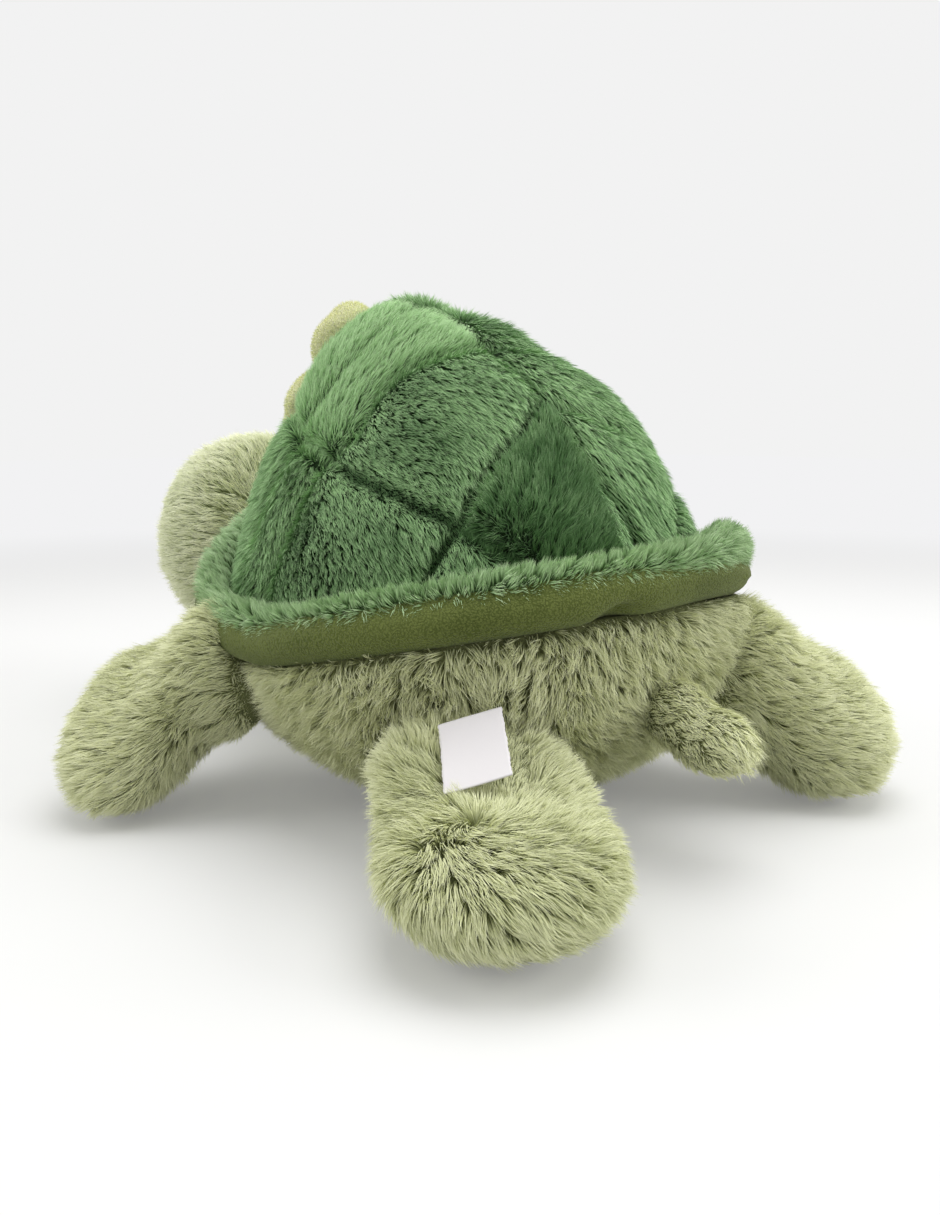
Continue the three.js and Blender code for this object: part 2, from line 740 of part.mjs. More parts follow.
const headParts = stuffedLimb(head, headMesh, bodyAround, shellAround);
const eyes = [
  { side: 'left', ...eyePieces(eyeTurnShare) },
  { side: 'right', ...eyePieces(0.5 - eyeTurnShare) },
];
turtle.add(
  meshOf('head_cover', cutAll(headParts.cover, eyes.map((one) => one.cut)), paleSageFur),
  meshOf('head_filling', cutAll(headParts.filling, eyes.map((one) => one.cut)), whiteFilling),
);
for (const one of eyes) {
  turtle.add(meshOf(`${one.side}_eye`, one.solid, blackPlastic));
  turtle.add(meshOf(`${one.side}_eye_washer`, one.washer, palePlastic));
}

const shellCover = domeForm(0, 0, 1, seams)
  .subtract(domeForm(-shellWall, shell.skirt, innerMeshShare));
const dome = domeForm(gap, gap);
const panel = domeForm(0, panelDrop).subtract(dome);
const edgeBand = rimTube(band, 0).subtract(dome).subtract(rimTube(rim, gap));
turtle.add(
  meshOf('shell_cover', shellCover, greenFur),
  meshOf('shell_filling', domeForm(-shellWall - gap, 0, innerMeshShare), whiteFilling),
  meshOf('shell_rim_roll', rimTube(rim, 0).subtract(dome), mintFur),
  meshOf('shell_underside', panel.add(edgeBand), oliveVelour),
  ...flowerPieces(dome),
  labelMesh(limbs[2]),
);

export default turtle;
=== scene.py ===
import json
import math
import bpy
import numpy as np
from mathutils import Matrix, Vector
from mathutils.bvhtree import BVHTree
from mathutils.kdtree import KDTree

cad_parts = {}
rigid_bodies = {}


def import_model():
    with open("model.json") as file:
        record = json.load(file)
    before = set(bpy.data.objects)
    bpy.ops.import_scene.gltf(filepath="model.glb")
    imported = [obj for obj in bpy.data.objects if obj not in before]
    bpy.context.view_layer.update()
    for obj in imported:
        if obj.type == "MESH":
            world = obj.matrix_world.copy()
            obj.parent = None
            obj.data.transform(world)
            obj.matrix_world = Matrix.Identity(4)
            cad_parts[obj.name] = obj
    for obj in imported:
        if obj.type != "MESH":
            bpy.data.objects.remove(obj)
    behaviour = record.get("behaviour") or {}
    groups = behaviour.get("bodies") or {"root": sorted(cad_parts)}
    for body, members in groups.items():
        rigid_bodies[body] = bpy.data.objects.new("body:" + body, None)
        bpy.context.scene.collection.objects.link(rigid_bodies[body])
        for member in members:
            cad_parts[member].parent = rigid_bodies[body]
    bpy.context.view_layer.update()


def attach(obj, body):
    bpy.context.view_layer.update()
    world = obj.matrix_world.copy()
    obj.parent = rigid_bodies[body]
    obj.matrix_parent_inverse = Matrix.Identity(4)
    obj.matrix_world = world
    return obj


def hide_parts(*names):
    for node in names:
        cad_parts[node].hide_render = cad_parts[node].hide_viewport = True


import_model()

mm = 0.001
upward = np.array((0.0, 0.0, 1.0))
print("frame loaded")


# Small helpers

def linear(red, green, blue):
    # a screen colour from 0 to 255 as the linear value that a shader takes
    def one(value):
        value /= 255
        return value / 12.92 if value <= 0.04045 else ((value + 0.055) / 1.055) ** 2.4
    return (one(red), one(green), one(blue), 1.0)


def power(value, exponent):
    return np.sign(value) * np.abs(value) ** exponent


def smooth(share):
    held = np.clip(share, 0, 1)
    return held * held * (3 - 2 * held)


def atLeast(least, share):
    # a share from 0 to 1 that starts at its least value
    return least + (1 - least) * share


def unit(vectors):
    return vectors / np.maximum(np.linalg.norm(vectors, axis=-1, keepdims=True), 1e-9)


def near(distance, reach):
    # 1 at a place, fading away within its reach
    return np.exp(-(distance / reach) ** 2)


def alongSkin(vectors, normals):
    # the part of each vector that doesn't leave the skin
    return vectors - normals * np.einsum("ij,ij->i", vectors, normals)[:, None]


def level(degrees):
    return np.array((math.cos(math.radians(degrees)), math.sin(math.radians(degrees)), 0.0))


def turnedAbout(vector, axis, degrees):
    angle = math.radians(degrees)
    return (vector * math.cos(angle) + np.cross(axis, vector) * math.sin(angle)
            + axis * np.dot(axis, vector) * (1 - math.cos(angle)))


def drift(places, size, seed):
    # slow waves in three directions, which stand in for the hand that stuffed and brushed it
    chance = np.random.default_rng(seed)
    sway = np.zeros_like(places)
    for _ in range(5):
        wave = chance.normal(size=(3, 3)) / size
        phase = chance.uniform(0, 2 * math.pi, 3)
        sway += np.sin(places @ wave.T + phase)
    return sway / 3


def meshObject(name, points, faces):
    # points in millimetres; the faces are turned so that they point out
    mesh = bpy.data.meshes.new(name)
    mesh.from_pydata((np.asarray(points) * mm).tolist(), [], faces)
    triangles = np.array([(face[0], face[at], face[at + 1])
                          for face in faces for at in range(1, len(face) - 1)])
    a, b, c = (np.asarray(points)[triangles[:, at]] for at in range(3))
    if np.einsum("ij,ij->", a, np.cross(b, c)) < 0:
        mesh.flip_normals()
    mesh.shade_smooth()
    mesh.update()
    piece = bpy.data.objects.new(name, mesh)
    bpy.context.scene.collection.objects.link(piece)
    return piece


def closedForm(name, around, rings, pointsAt):
    # rings of points between two poles, as pointsAt(turn, run) places them
    run = np.repeat(np.arange(1, rings) / rings, around)
    turn = np.tile(np.arange(around) / around, rings - 1)
    points = np.vstack([pointsAt(np.zeros(1), np.zeros(1)), pointsAt(turn, run),
                        pointsAt(np.zeros(1), np.ones(1))])
    last = len(points) - 1

    def at(ring, step):
        return 1 + (ring - 1) * around + step % around
    faces = [(0, at(1, step + 1), at(1, step)) for step in range(around)]
    faces += [(at(ring, step), at(ring, step + 1), at(ring + 1, step + 1), at(ring + 1, step))
              for ring in range(1, rings - 1) for step in range(around)]
    faces += [(last, at(rings - 1, step), at(rings - 1, step + 1)) for step in range(around)]
    return meshObject(name, points, faces)


def closedLoop(name, around, sides, pointsAt):
    # a closed tube round a loop
    turn = np.repeat(np.arange(around) / around, sides)
    side = np.tile(np.arange(sides) / sides, around)

    def at(step, corner):
        return (step % around) * sides + corner % sides
    faces = [(at(step, side), at(step + 1, side), at(step + 1, side + 1), at(step, side + 1))
             for step in range(around) for side in range(sides)]
    return meshObject(name, pointsAt(turn, side), faces)


def placesOf(piece):
    count = len(piece.data.vertices)
    places = np.empty(count * 3, np.float32)
    piece.data.vertices.foreach_get("co", places)
    normals = np.empty(count * 3, np.float32)
    piece.data.vertex_normals.foreach_get("vector", normals)
    return places.reshape(-1, 3).astype(float) / mm, normals.reshape(-1, 3).astype(float)


def reshape(piece, places):
    piece.data.vertices.foreach_set("co", (places * mm).astype(np.float32).ravel())
    piece.data.update()


def keepResult(piece, modifier):
    # the modifier's result becomes the piece's plain mesh
    result = bpy.data.meshes.new_from_object(
        piece.evaluated_get(bpy.context.evaluated_depsgraph_get()))
    piece.modifiers.remove(modifier)
    piece.data = result


def keep(piece, name, values):
    # a named attribute on the piece's points
    values = np.asarray(values, np.float32)
    kind, key = ("FLOAT_VECTOR", "vector") if values.ndim == 2 else ("FLOAT", "value")
    attribute = piece.data.attributes.new(name, kind, "POINT")
    attribute.data.foreach_set(key, values.ravel())


# Node helpers

def live(sockets, name):
    return next(one for one in sockets if one.name == name and one.enabled)


def put(tree, kind, inputs=None, **settings):
    node = tree.nodes.new(kind)
    for key, value in settings.items():
        setattr(node, key, value)
    for key, value in (inputs or {}).items():
        socket = node.inputs[key] if isinstance(key, int) else live(node.inputs, key)
        if isinstance(value, bpy.types.NodeSocket):
            tree.links.new(value, socket)
        else:
            socket.default_value = value
    return node


def vectorMath(tree, operation, *values, scale=None):
    inputs = dict(enumerate(values))
    if scale is not None:
        inputs["Scale"] = scale
    return put(tree, "ShaderNodeVectorMath", inputs, operation=operation).outputs["Vector"]


def number(tree, operation, *values, clamped=False):
    node = put(tree, "ShaderNodeMath", dict(enumerate(values)), operation=operation)
    node.use_clamp = clamped
    return node.outputs["Value"]


def mixed(tree, kind, share, first, second):
    # a mix of two numbers, vectors or colours
    inputs = {"Factor": share, "A": first, "B": second}
    return live(put(tree, "ShaderNodeMix", inputs, data_type=kind).outputs, "Result")


def eased(tree, value, start, end):
    # runs smoothly from 0 to 1 between two values
    return put(tree, "ShaderNodeMapRange", {"Value": value, "From Min": start, "From Max": end},
               interpolation_type="SMOOTHSTEP").outputs["Result"]


# Fur: each strand is a bent, tapering blade that grows from the skin

bladeForm = {
    # a strand's least pile, how it leans and twists, its taper, and how far tones stray
    "leastPile": 0.05, "lean": 0.25, "twist": 0.7, "taper": 2.2, "tuftTone": 0.17, "ownTone": 0.16}


def strandTree():
    form = bladeForm
    tree = bpy.data.node_groups.new("fur strands", "GeometryNodeTree")
    face = tree.interface
    face.new_socket("Geometry", in_out="INPUT", socket_type="NodeSocketGeometry")
    for name, kind in (("Strands per area", "Float"), ("Length", "Float"), ("Half width", "Float"),
                       ("Length spread", "Float"), ("Upright", "Float"), ("Bend", "Float"),
                       ("Tufts per area", "Float"), ("Tufting", "Float"), ("Tuft stray", "Float"),
                       ("Strand stray", "Float"), ("Seed", "Int"), ("Finish", "Material")):
        face.new_socket(name, in_out="INPUT", socket_type="NodeSocket" + kind)
    face.new_socket("Geometry", in_out="OUTPUT", socket_type="NodeSocketGeometry")
    given = tree.nodes.new("NodeGroupInput").outputs
    seed = given["Seed"]

    def named(name, kind="FLOAT_VECTOR"):
        node = put(tree, "GeometryNodeInputNamedAttribute", {"Name": name}, data_type=kind)
        return live(node.outputs, "Attribute")

    def store(geometry, name, value, kind="FLOAT_VECTOR", domain="POINT"):
        inputs = {"Geometry": geometry, "Name": name, "Value": value}
        return put(tree, "GeometryNodeStoreNamedAttribute", inputs,
                   data_type=kind, domain=domain).outputs["Geometry"]

    def chance(kind, least, most, extra):
        inputs = {"Min": least, "Max": most, "Seed": number(tree, "ADD", seed, extra)}
        return live(put(tree, "FunctionNodeRandomValue", inputs, data_type=kind).outputs, "Value")

    def anyWay(extra):
        return chance("FLOAT_VECTOR", (-1, -1, -1), (1, 1, 1), extra)

    pile = named("pile", "FLOAT")
    grows = number(tree, "GREATER_THAN", pile, form["leastPile"])
    strands = put(tree, "GeometryNodeDistributePointsOnFaces", {
        "Mesh": given["Geometry"], "Seed": seed,
        "Density": number(tree, "MULTIPLY", given["Strands per area"], grows)})
    tufts = put(tree, "GeometryNodeDistributePointsOnFaces", {
        "Mesh": given["Geometry"], "Seed": number(tree, "ADD", seed, 1),
        "Density": given["Tufts per area"]})
    nearest = put(tree, "GeometryNodeSampleNearest",
                  {"Geometry": tufts.outputs["Points"]}).outputs["Index"]

    def ofTuft(value, kind="FLOAT_VECTOR"):
        inputs = {"Geometry": tufts.outputs["Points"], "Value": value, "Index": nearest}
        return live(put(tree, "GeometryNodeSampleIndex", inputs, data_type=kind).outputs, "Value")

    place = put(tree, "GeometryNodeInputPosition").outputs["Position"]
    normal = strands.outputs["Normal"]
    nap = named("nap")
    length = number(tree, "MULTIPLY", number(tree, "MULTIPLY", given["Length"], pile),
                    number(tree, "SUBTRACT", 1.0, number(
                        tree, "MULTIPLY", given["Length spread"], chance("FLOAT", 0.0, 1.0, 2))))
    tuftSway = vectorMath(tree, "SCALE", ofTuft(anyWay(3)), scale=given["Tuft stray"])
    ownSway = vectorMath(tree, "SCALE", anyWay(4), scale=given["Strand stray"])

    def tipOf(foot, outward, sway):
        rise = vectorMath(tree, "SCALE", outward, scale=given["Upright"])
        way = vectorMath(tree, "NORMALIZE", vectorMath(
            tree, "ADD", vectorMath(tree, "ADD", rise, nap), sway))
        return vectorMath(tree, "ADD", foot, vectorMath(tree, "SCALE", way, scale=length))

    ownTip = tipOf(place, normal, vectorMath(tree, "ADD", tuftSway, ownSway))
    tuftTip = tipOf(ofTuft(place), ofTuft(tufts.outputs["Normal"]), tuftSway)
    tip = mixed(tree, "VECTOR", given["Tufting"], ownTip, tuftTip)
    toTip = vectorMath(tree, "SUBTRACT", tip, place)
    toBend = vectorMath(tree, "ADD", vectorMath(
        tree, "SCALE", vectorMath(tree, "SCALE", normal, scale=length), scale=given["Bend"]),
        vectorMath(tree, "SCALE", toTip, scale=form["lean"]))
    across = vectorMath(tree, "NORMALIZE", vectorMath(
        tree, "CROSS_PRODUCT", toTip, vectorMath(
            tree, "ADD", normal, vectorMath(tree, "SCALE", anyWay(5), scale=form["twist"]))))
    across = vectorMath(tree, "SCALE", across, scale=given["Half width"])
    tone = number(tree, "ADD", named("shade", "FLOAT"), number(
        tree, "ADD", ofTuft(chance("FLOAT", -form["tuftTone"], form["tuftTone"], 6), "FLOAT"),
        chance("FLOAT", -form["ownTone"], form["ownTone"], 7)))

    points = strands.outputs["Points"]
    for name, value, kind in (("foot", place, "FLOAT_VECTOR"), ("toTip", toTip, "FLOAT_VECTOR"),
                              ("toBend", toBend, "FLOAT_VECTOR"),
                              ("across", across, "FLOAT_VECTOR"), ("tone", tone, "FLOAT")):
        points = store(points, name, value, kind)

    # one blade: four corners and a tip, as wide as its run allows
    sheet = put(tree, "GeometryNodeMeshGrid", {"Size X": 2.0, "Size Y": 1.0,
                                               "Vertices X": 2, "Vertices Y": 3}).outputs["Mesh"]
    apart = put(tree, "ShaderNodeSeparateXYZ", {"Vector": place}).outputs
    run = number(tree, "ADD", apart["Y"], 0.5)
    narrow = number(tree, "SUBTRACT", 1.0, number(tree, "POWER", run, form["taper"]))
    shaped = put(tree, "ShaderNodeCombineXYZ", {
        "X": number(tree, "MULTIPLY", apart["X"], narrow), "Y": run}).outputs["Vector"]
    blade = put(tree, "GeometryNodeSetPosition",
                {"Geometry": sheet, "Position": shaped}).outputs["Geometry"]
    blade = put(tree, "GeometryNodeMergeByDistance",
                {"Geometry": blade, "Distance": 0.01}).outputs["Geometry"]
    blade = store(blade, "blade", place)
    grown = put(tree, "GeometryNodeInstanceOnPoints",
                {"Points": points, "Instance": blade}).outputs["Instances"]
    grown = put(tree, "GeometryNodeRealizeInstances", {"Geometry": grown}).outputs["Geometry"]

    onBlade = put(tree, "ShaderNodeSeparateXYZ", {"Vector": named("blade")}).outputs
    run = onBlade["Y"]
    left = number(tree, "SUBTRACT", 1.0, run)
    bent = number(tree, "MULTIPLY", number(tree, "MULTIPLY", run, left), 2.0)
    ends = number(tree, "MULTIPLY", run, run)
    spot = named("foot")
    for vector, share in ((named("toBend"), bent), (named("toTip"), ends),
                          (named("across"), onBlade["X"])):
        spot = vectorMath(tree, "ADD", spot, vectorMath(tree, "SCALE", vector, scale=share))
    grown = put(tree, "GeometryNodeSetPosition",
                {"Geometry": grown, "Position": spot}).outputs["Geometry"]
    onMap = put(tree, "ShaderNodeCombineXYZ",
                {"X": named("tone", "FLOAT"), "Y": run}).outputs["Vector"]
    grown = store(grown, "OFBake", onMap, "FLOAT2", "CORNER")
    grown = put(tree, "GeometryNodeSetMaterial",
                {"Geometry": grown, "Material": given["Finish"]}).outputs["Geometry"]
    put(tree, "NodeGroupOutput", {"Geometry": grown})
    return tree


furTree = strandTree()


def settle(piece, tree, values):
    # runs a tree on a piece and keeps its result as a plain mesh
    modifier = piece.modifiers.new("growth", "NODES")
    modifier.node_group = tree
    for socket in tree.interface.items_tree:
        if socket.item_type == "SOCKET" and socket.in_out == "INPUT" and socket.name in values:
            modifier[socket.identifier] = values[socket.name]
    keepResult(piece, modifier)


def growFur(skin, name, fur, finish, share=None):
    # share, if given, keeps the strands of a part of the skin
    coat = skin.copy()
    coat.data = skin.data.copy()
    coat.name = name
    coat.data.name = name
    bpy.context.scene.collection.objects.link(coat)
    if share is not None:
        places, _ = placesOf(coat)
        pile = np.empty(len(places), np.float32)
        coat.data.attributes["pile"].data.foreach_get("value", pile)
        coat.data.attributes["pile"].data.foreach_set("value", (pile * share(places)).astype(np.float32))
    settle(coat, furTree, {
        "Strands per area": fur["perSquareMm"] / mm ** 2, "Length": fur["length"] * mm,
        "Half width": fur["halfWidth"] * mm, "Length spread": fur["lengthSpread"],
        "Upright": fur["upright"], "Bend": fur["bend"],
        "Tufts per area": 1 / (fur["tuftSpacing"] * mm) ** 2, "Tufting": fur["tufting"],
        "Tuft stray": fur["tuftStray"], "Strand stray": fur["strandStray"],
        "Seed": fur["seed"], "Finish": finish,
    })
    for spare in ("foot", "toTip", "toBend", "across", "blade", "tone", "pile", "nap", "shade"):
        found = coat.data.attributes.get(spare)
        if found:
            coat.data.attributes.remove(found)
    print(name, len(coat.data.polygons), "faces")
    return coat


# Materials

def shaderGroup(name, inputs, outputs):
    group = bpy.data.node_groups.new(name, "ShaderNodeTree")
    for label, kind in inputs:
        group.interface.new_socket(label, in_out="INPUT", socket_type="NodeSocket" + kind)
    for label, kind in outputs:
        group.interface.new_socket(label, in_out="OUTPUT", socket_type="NodeSocket" + kind)
    return group


def pileColourGroup():
    # the colour of a strand from its root to its tip, by its own tone; the root is darkened as painted
    # shade deep in the pile, and the tip is lightened as a painted sheen
    group = shaderGroup("pile colour", (("Map", "Vector"), ("Root", "Color"), ("Dark", "Color"),
                                        ("Light", "Color"), ("Tip", "Color")), (("Colour", "Color"),))
    given = group.nodes.new("NodeGroupInput").outputs
    apart = put(group, "ShaderNodeSeparateXYZ", {"Vector": given["Map"]}).outputs
    body = mixed(group, "RGBA", number(group, "ADD", apart["X"], 0.0, clamped=True),
                 given["Dark"], given["Light"])
    # darker towards the root: painted shade deep in the pile
    lower = eased(group, apart["Y"], 0.0, 0.5)
    upper = eased(group, apart["Y"], 0.45, 1.0)
    # lighter towards the tip, the more so at a light tone: painted sheen on the strands' ends
    tipSheen = number(group, "MULTIPLY", upper, number(
        group, "ADD", number(group, "MULTIPLY", apart["X"], 0.8), 0.2), clamped=True)
    colour = mixed(group, "RGBA", lower, given["Root"], body)
    colour = mixed(group, "RGBA", tipSheen, colour, given["Tip"])
    put(group, "NodeGroupOutput", {"Colour": colour})
    return group


def clothGroup():
    # cloth backing: a fine knit with slow changes of tone, darkened in the knit's hollows as painted
    # shade
    group = shaderGroup("backing cloth", (("Colour", "Color"), ("Size", "Float")),
                        (("Colour", "Color"), ("Height", "Float")))
    given = group.nodes.new("NodeGroupInput").outputs
    place = put(group, "ShaderNodeTexCoord").outputs["Object"]
    knit = put(group, "ShaderNodeTexVoronoi", {"Vector": place, "Scale": number(
        group, "DIVIDE", 1.0, given["Size"])}).outputs["Distance"]
    slow = put(group, "ShaderNodeTexNoise", {"Vector": place, "Scale": 30.0, "Detail": 3.0})
    deep = number(group, "ADD", number(group, "MULTIPLY", slow.outputs["Fac"], 0.5), 0.6)
    # darker where the knit sinks between its loops: painted shade
    deep = number(group, "MULTIPLY", deep, number(
        group, "SUBTRACT", 1.1, number(group, "MULTIPLY", knit, 0.5)))
    shaded = vectorMath(group, "SCALE", given["Colour"], scale=deep)
    put(group, "NodeGroupOutput", {"Colour": shaded, "Height": number(
        group, "SUBTRACT", 1.0, knit)})
    return group


pebbleForm = {"swayScale": 400.0, "sway": 0.0016, "gapFrom": 0.3, "gapTo": 0.75, "gapShadeShare": 0.65,
              "brushScale": 25.0, "brushFrom": 0.35, "brushGain": 1.3}


def pebbleGroup():
    # very short pile that stands in tiny beads, painted dark between them as shade in the hollows
    group = shaderGroup("pebbled pile", (("Light", "Color"), ("Dark", "Color"), ("Size", "Float")),
                        (("Colour", "Color"), ("Height", "Float")))
    form = pebbleForm
    given = group.nodes.new("NodeGroupInput").outputs
    place = put(group, "ShaderNodeTexCoord").outputs["Object"]
    sway = put(group, "ShaderNodeTexNoise", {"Vector": place, "Scale": form["swayScale"],
                                               "Detail": 2.0})
    swayed = vectorMath(group, "ADD", place, vectorMath(
        group, "SCALE", vectorMath(group, "SUBTRACT", sway.outputs["Color"], (0.5, 0.5, 0.5)),
        scale=form["sway"]))
    beads = put(group, "ShaderNodeTexVoronoi", {"Vector": swayed, "Scale": number(
        group, "DIVIDE", 1.0, given["Size"])}).outputs["Distance"]
    slow = put(group, "ShaderNodeTexNoise", {"Vector": place, "Scale": form["brushScale"],
                                               "Detail": 4.0})
    gaps = eased(group, beads, form["gapFrom"], form["gapTo"])
    brushed = number(group, "MULTIPLY", number(
        group, "SUBTRACT", slow.outputs["Fac"], form["brushFrom"]), form["brushGain"], clamped=True)
    # the hollows between the beads are painted dark as shade; the slow brushed patches darken at random
    dark = number(group, "ADD", number(group, "MULTIPLY", gaps, form["gapShadeShare"]), brushed,
                  clamped=True)
    put(group, "NodeGroupOutput", {
        "Colour": mixed(group, "RGBA", dark, given["Light"], given["Dark"]),
        "Height": number(group, "SUBTRACT", 1.0, gaps)})
    return group


pileColour = pileColourGroup()
backingCloth = clothGroup()
pebbledPile = pebbleGroup()


def newMaterial(name, **constants):
    material = bpy.data.materials.new(name)
    material.use_nodes = True
    shader = material.node_tree.nodes["Principled BSDF"]
    for label, value in constants.items():
        shader.inputs[label.replace("_", " ")].default_value = value
    return material, material.node_tree, shader


def grouped(tree, group, inputs):
    node = put(tree, "ShaderNodeGroup", node_tree=group)
    for key, value in inputs.items():
        if isinstance(value, bpy.types.NodeSocket):
            tree.links.new(value, node.inputs[key])
        else:
            node.inputs[key].default_value = value
    return node.outputs


def emboss(tree, shader, height, strength, depth):
    # depth in millimetres
    bumped = put(tree, "ShaderNodeBump", {"Strength": strength, "Distance": depth * mm,
                                          "Height": height})
    tree.links.new(bumped.outputs["Normal"], shader.inputs["Normal"])


def furMaterial(name, root, dark, light, tip):
    material, tree, shader = newMaterial(name, Roughness=0.75, Specular_IOR_Level=0.25,
                                         Sheen_Weight=0.12, Sheen_Roughness=0.4)
    # the root colour is painted shade deep in the pile, the tip colour a painted sheen
    onMap = put(tree, "ShaderNodeUVMap", uv_map="OFBake").outputs["UV"]
    colour = grouped(tree, pileColour, {"Map": onMap, "Root": linear(*root), "Dark": linear(*dark),
                                        "Light": linear(*light), "Tip": linear(*tip)})["Colour"]
    tree.links.new(colour, shader.inputs["Base Color"])
    return material


def clothMaterial(name, colour, size=0.8, roughness=0.9, bump=0.4):
    material, tree, shader = newMaterial(name, Roughness=roughness, Specular_IOR_Level=0.2)
    cloth = grouped(tree, backingCloth, {"Colour": linear(*colour), "Size": size * mm})
    tree.links.new(cloth["Colour"], shader.inputs["Base Color"])
    emboss(tree, shader, cloth["Height"], bump, 0.3)
    return material


def pebbleMaterial(name, light, dark, size, depth):
    material, tree, shader = newMaterial(name, Roughness=0.85, Specular_IOR_Level=0.2,
                                         Sheen_Weight=0.12, Sheen_Roughness=0.35)
    pebbles = grouped(tree, pebbledPile, {"Light": linear(*light), "Dark": linear(*dark),
                                          "Size": size * mm})
    tree.links.new(pebbles["Colour"], shader.inputs["Base Color"])
    emboss(tree, shader, pebbles["Height"], 0.8, depth)
    return material


def plasticMaterial(name, colour, roughness):
    # moulded plastic with faint flow marks
    material, tree, shader = newMaterial(name)
    place = put(tree, "ShaderNodeTexCoord").outputs["Object"]
    flow = put(tree, "ShaderNodeTexNoise", {"Vector": place, "Scale": 180.0, "Detail": 4.0})
    shader.inputs["Base Color"].default_value = linear(*colour)
    tree.links.new(number(tree, "ADD", roughness, number(
        tree, "MULTIPLY", flow.outputs["Fac"], roughness * 0.6)), shader.inputs["Roughness"])
    emboss(tree, shader, flow.outputs["Fac"], 0.08, 0.05)
    return material


satinForm = {"warp": 460.0, "weft": 520.0, "skew": 230.0, "warpRise": 0.3, "weaveRise": 0.2}


def satinMaterial(name, light, dark):
    # long floats down the label, crossed by finer ones; lighter on the raised floats and darker where
    # the weave sinks, as painted sheen and shade
    form = satinForm
    material, tree, shader = newMaterial(name, Roughness=0.5, Specular_IOR_Level=0.4,
                                         Sheen_Weight=0.3, Sheen_Roughness=0.3)
    onMap = put(tree, "ShaderNodeUVMap", uv_map="weave").outputs["UV"]
    apart = put(tree, "ShaderNodeSeparateXYZ", {"Vector": onMap}).outputs
    warp = number(tree, "SINE", number(tree, "MULTIPLY", apart["X"], form["warp"]))
    weft = number(tree, "SINE", number(
        tree, "ADD", number(tree, "MULTIPLY", apart["Y"], form["weft"]),
        number(tree, "MULTIPLY", apart["X"], form["skew"])))
    floats = number(tree, "ADD", number(tree, "MULTIPLY", warp, form["warpRise"]), number(
        tree, "MULTIPLY", number(tree, "MULTIPLY", warp, weft), form["weaveRise"]))
    height = number(tree, "ADD", floats, 0.5, clamped=True)
    # colour follows the weave's height: painted sheen on the floats, painted shade between them
    tree.links.new(mixed(tree, "RGBA", height, linear(*dark), linear(*light)),
                   shader.inputs["Base Color"])
    emboss(tree, shader, height, 0.35, 0.06)
    return material


# Camera and light, as the toy was photographed

cameraSettings = {"place": (330.66, 361.23, 175.94), "forward": (-0.65897, -0.73185, -0.17365),
                  "focalPixels": 1000, "framePixels": 1215, "sensor": 36}


def setCamera():
    camera = bpy.data.cameras.new("camera")
    camera.sensor_fit = "VERTICAL"
    settings = cameraSettings
    camera.sensor_height = settings["sensor"]
    camera.lens = settings["sensor"] * settings["focalPixels"] / settings["framePixels"]
    camera.clip_start = 0.01
    holder = bpy.data.objects.new("camera", camera)
    holder.location = Vector(settings["place"]) * mm
    holder.rotation_euler = Vector(settings["forward"]).to_track_quat("-Z", "Y").to_euler()
    bpy.context.scene.collection.objects.link(holder)
    bpy.context.scene.camera = holder


lightSettings = {
    # place and aim in metres, size across in metres, power in watts
    "top": {"place": (-0.2, 0.1, 1.7), "aim": (0, 0, 0.1), "size": 1.6, "power": 17.5},
    "left": {"place": (1.5, -0.9, 1.0), "aim": (0, 0, 0.1), "size": 1.2, "power": 10},
    "right": {"place": (-1.1, 1.5, 0.9), "aim": (0, 0, 0.1), "size": 1.2, "power": 14.5},
}
worldLevel, seenLevel = 0.53, 0.888  # as light, and as a background


def seenShare(tree):
    # 1 for what the camera sees, directly or in gloss
    rays = put(tree, "ShaderNodeLightPath").outputs
    return number(tree, "MAXIMUM", rays["Is Camera Ray"], number(
        tree, "MAXIMUM", rays["Is Glossy Ray"], rays["Is Transmission Ray"]))


def setLights():
    for name, light in lightSettings.items():
        lamp = bpy.data.lights.new(name, "AREA")
        lamp.shape = "DISK"
        lamp.size = light["size"]
        lamp.energy = light["power"]
        holder = bpy.data.objects.new(name, lamp)
        holder.location = light["place"]
        toAim = Vector(light["aim"]) - Vector(light["place"])
        holder.rotation_euler = toAim.to_track_quat("-Z", "Y").to_euler()
        bpy.context.scene.collection.objects.link(holder)
    world = bpy.data.worlds.new("studio")
    world.use_nodes = True
    world.node_tree.nodes["Background"].inputs["Color"].default_value = (1, 1, 1, 1)
    tree = world.node_tree
    strength = number(tree, "ADD", number(
        tree, "MULTIPLY", seenShare(tree), seenLevel - worldLevel), worldLevel)
    tree.links.new(strength, tree.nodes["Background"].inputs["Strength"])
    bpy.context.scene.world = world
    bpy.context.scene.view_settings.view_transform = "Standard"


stageSettings = {"floor": (215, 215, 214), "glow": 0.27, "far": (242, 242, 243), "fadeFrom": 450,
                 "fadeTo": 1500, "halfWidth": 6000}


def floorMaterial():
    # near the toy the floor keeps its shadows; further off it fades into the background
    stage = stageSettings
    material, tree, shader = newMaterial("pale floor", Roughness=0.95, Specular_IOR_Level=0.0)
    place = put(tree, "ShaderNodeTexCoord").outputs["Object"]
    distance = put(tree, "ShaderNodeVectorMath", {0: place}, operation="LENGTH").outputs["Value"]
    share = eased(tree, distance, stage["fadeFrom"] * mm, stage["fadeTo"] * mm)
    tree.links.new(mixed(tree, "RGBA", share, linear(*stage["floor"]), (0, 0, 0, 1)),
                   shader.inputs["Base Color"])
    tree.links.new(mixed(tree, "RGBA", share, linear(*stage["floor"]), linear(*stage["far"])),
                   shader.inputs["Emission Color"])
    glow = mixed(tree, "FLOAT", share, stage["glow"], 1.0)
    tree.links.new(number(tree, "MULTIPLY", seenShare(tree), glow), shader.inputs["Emission Strength"])
    return material


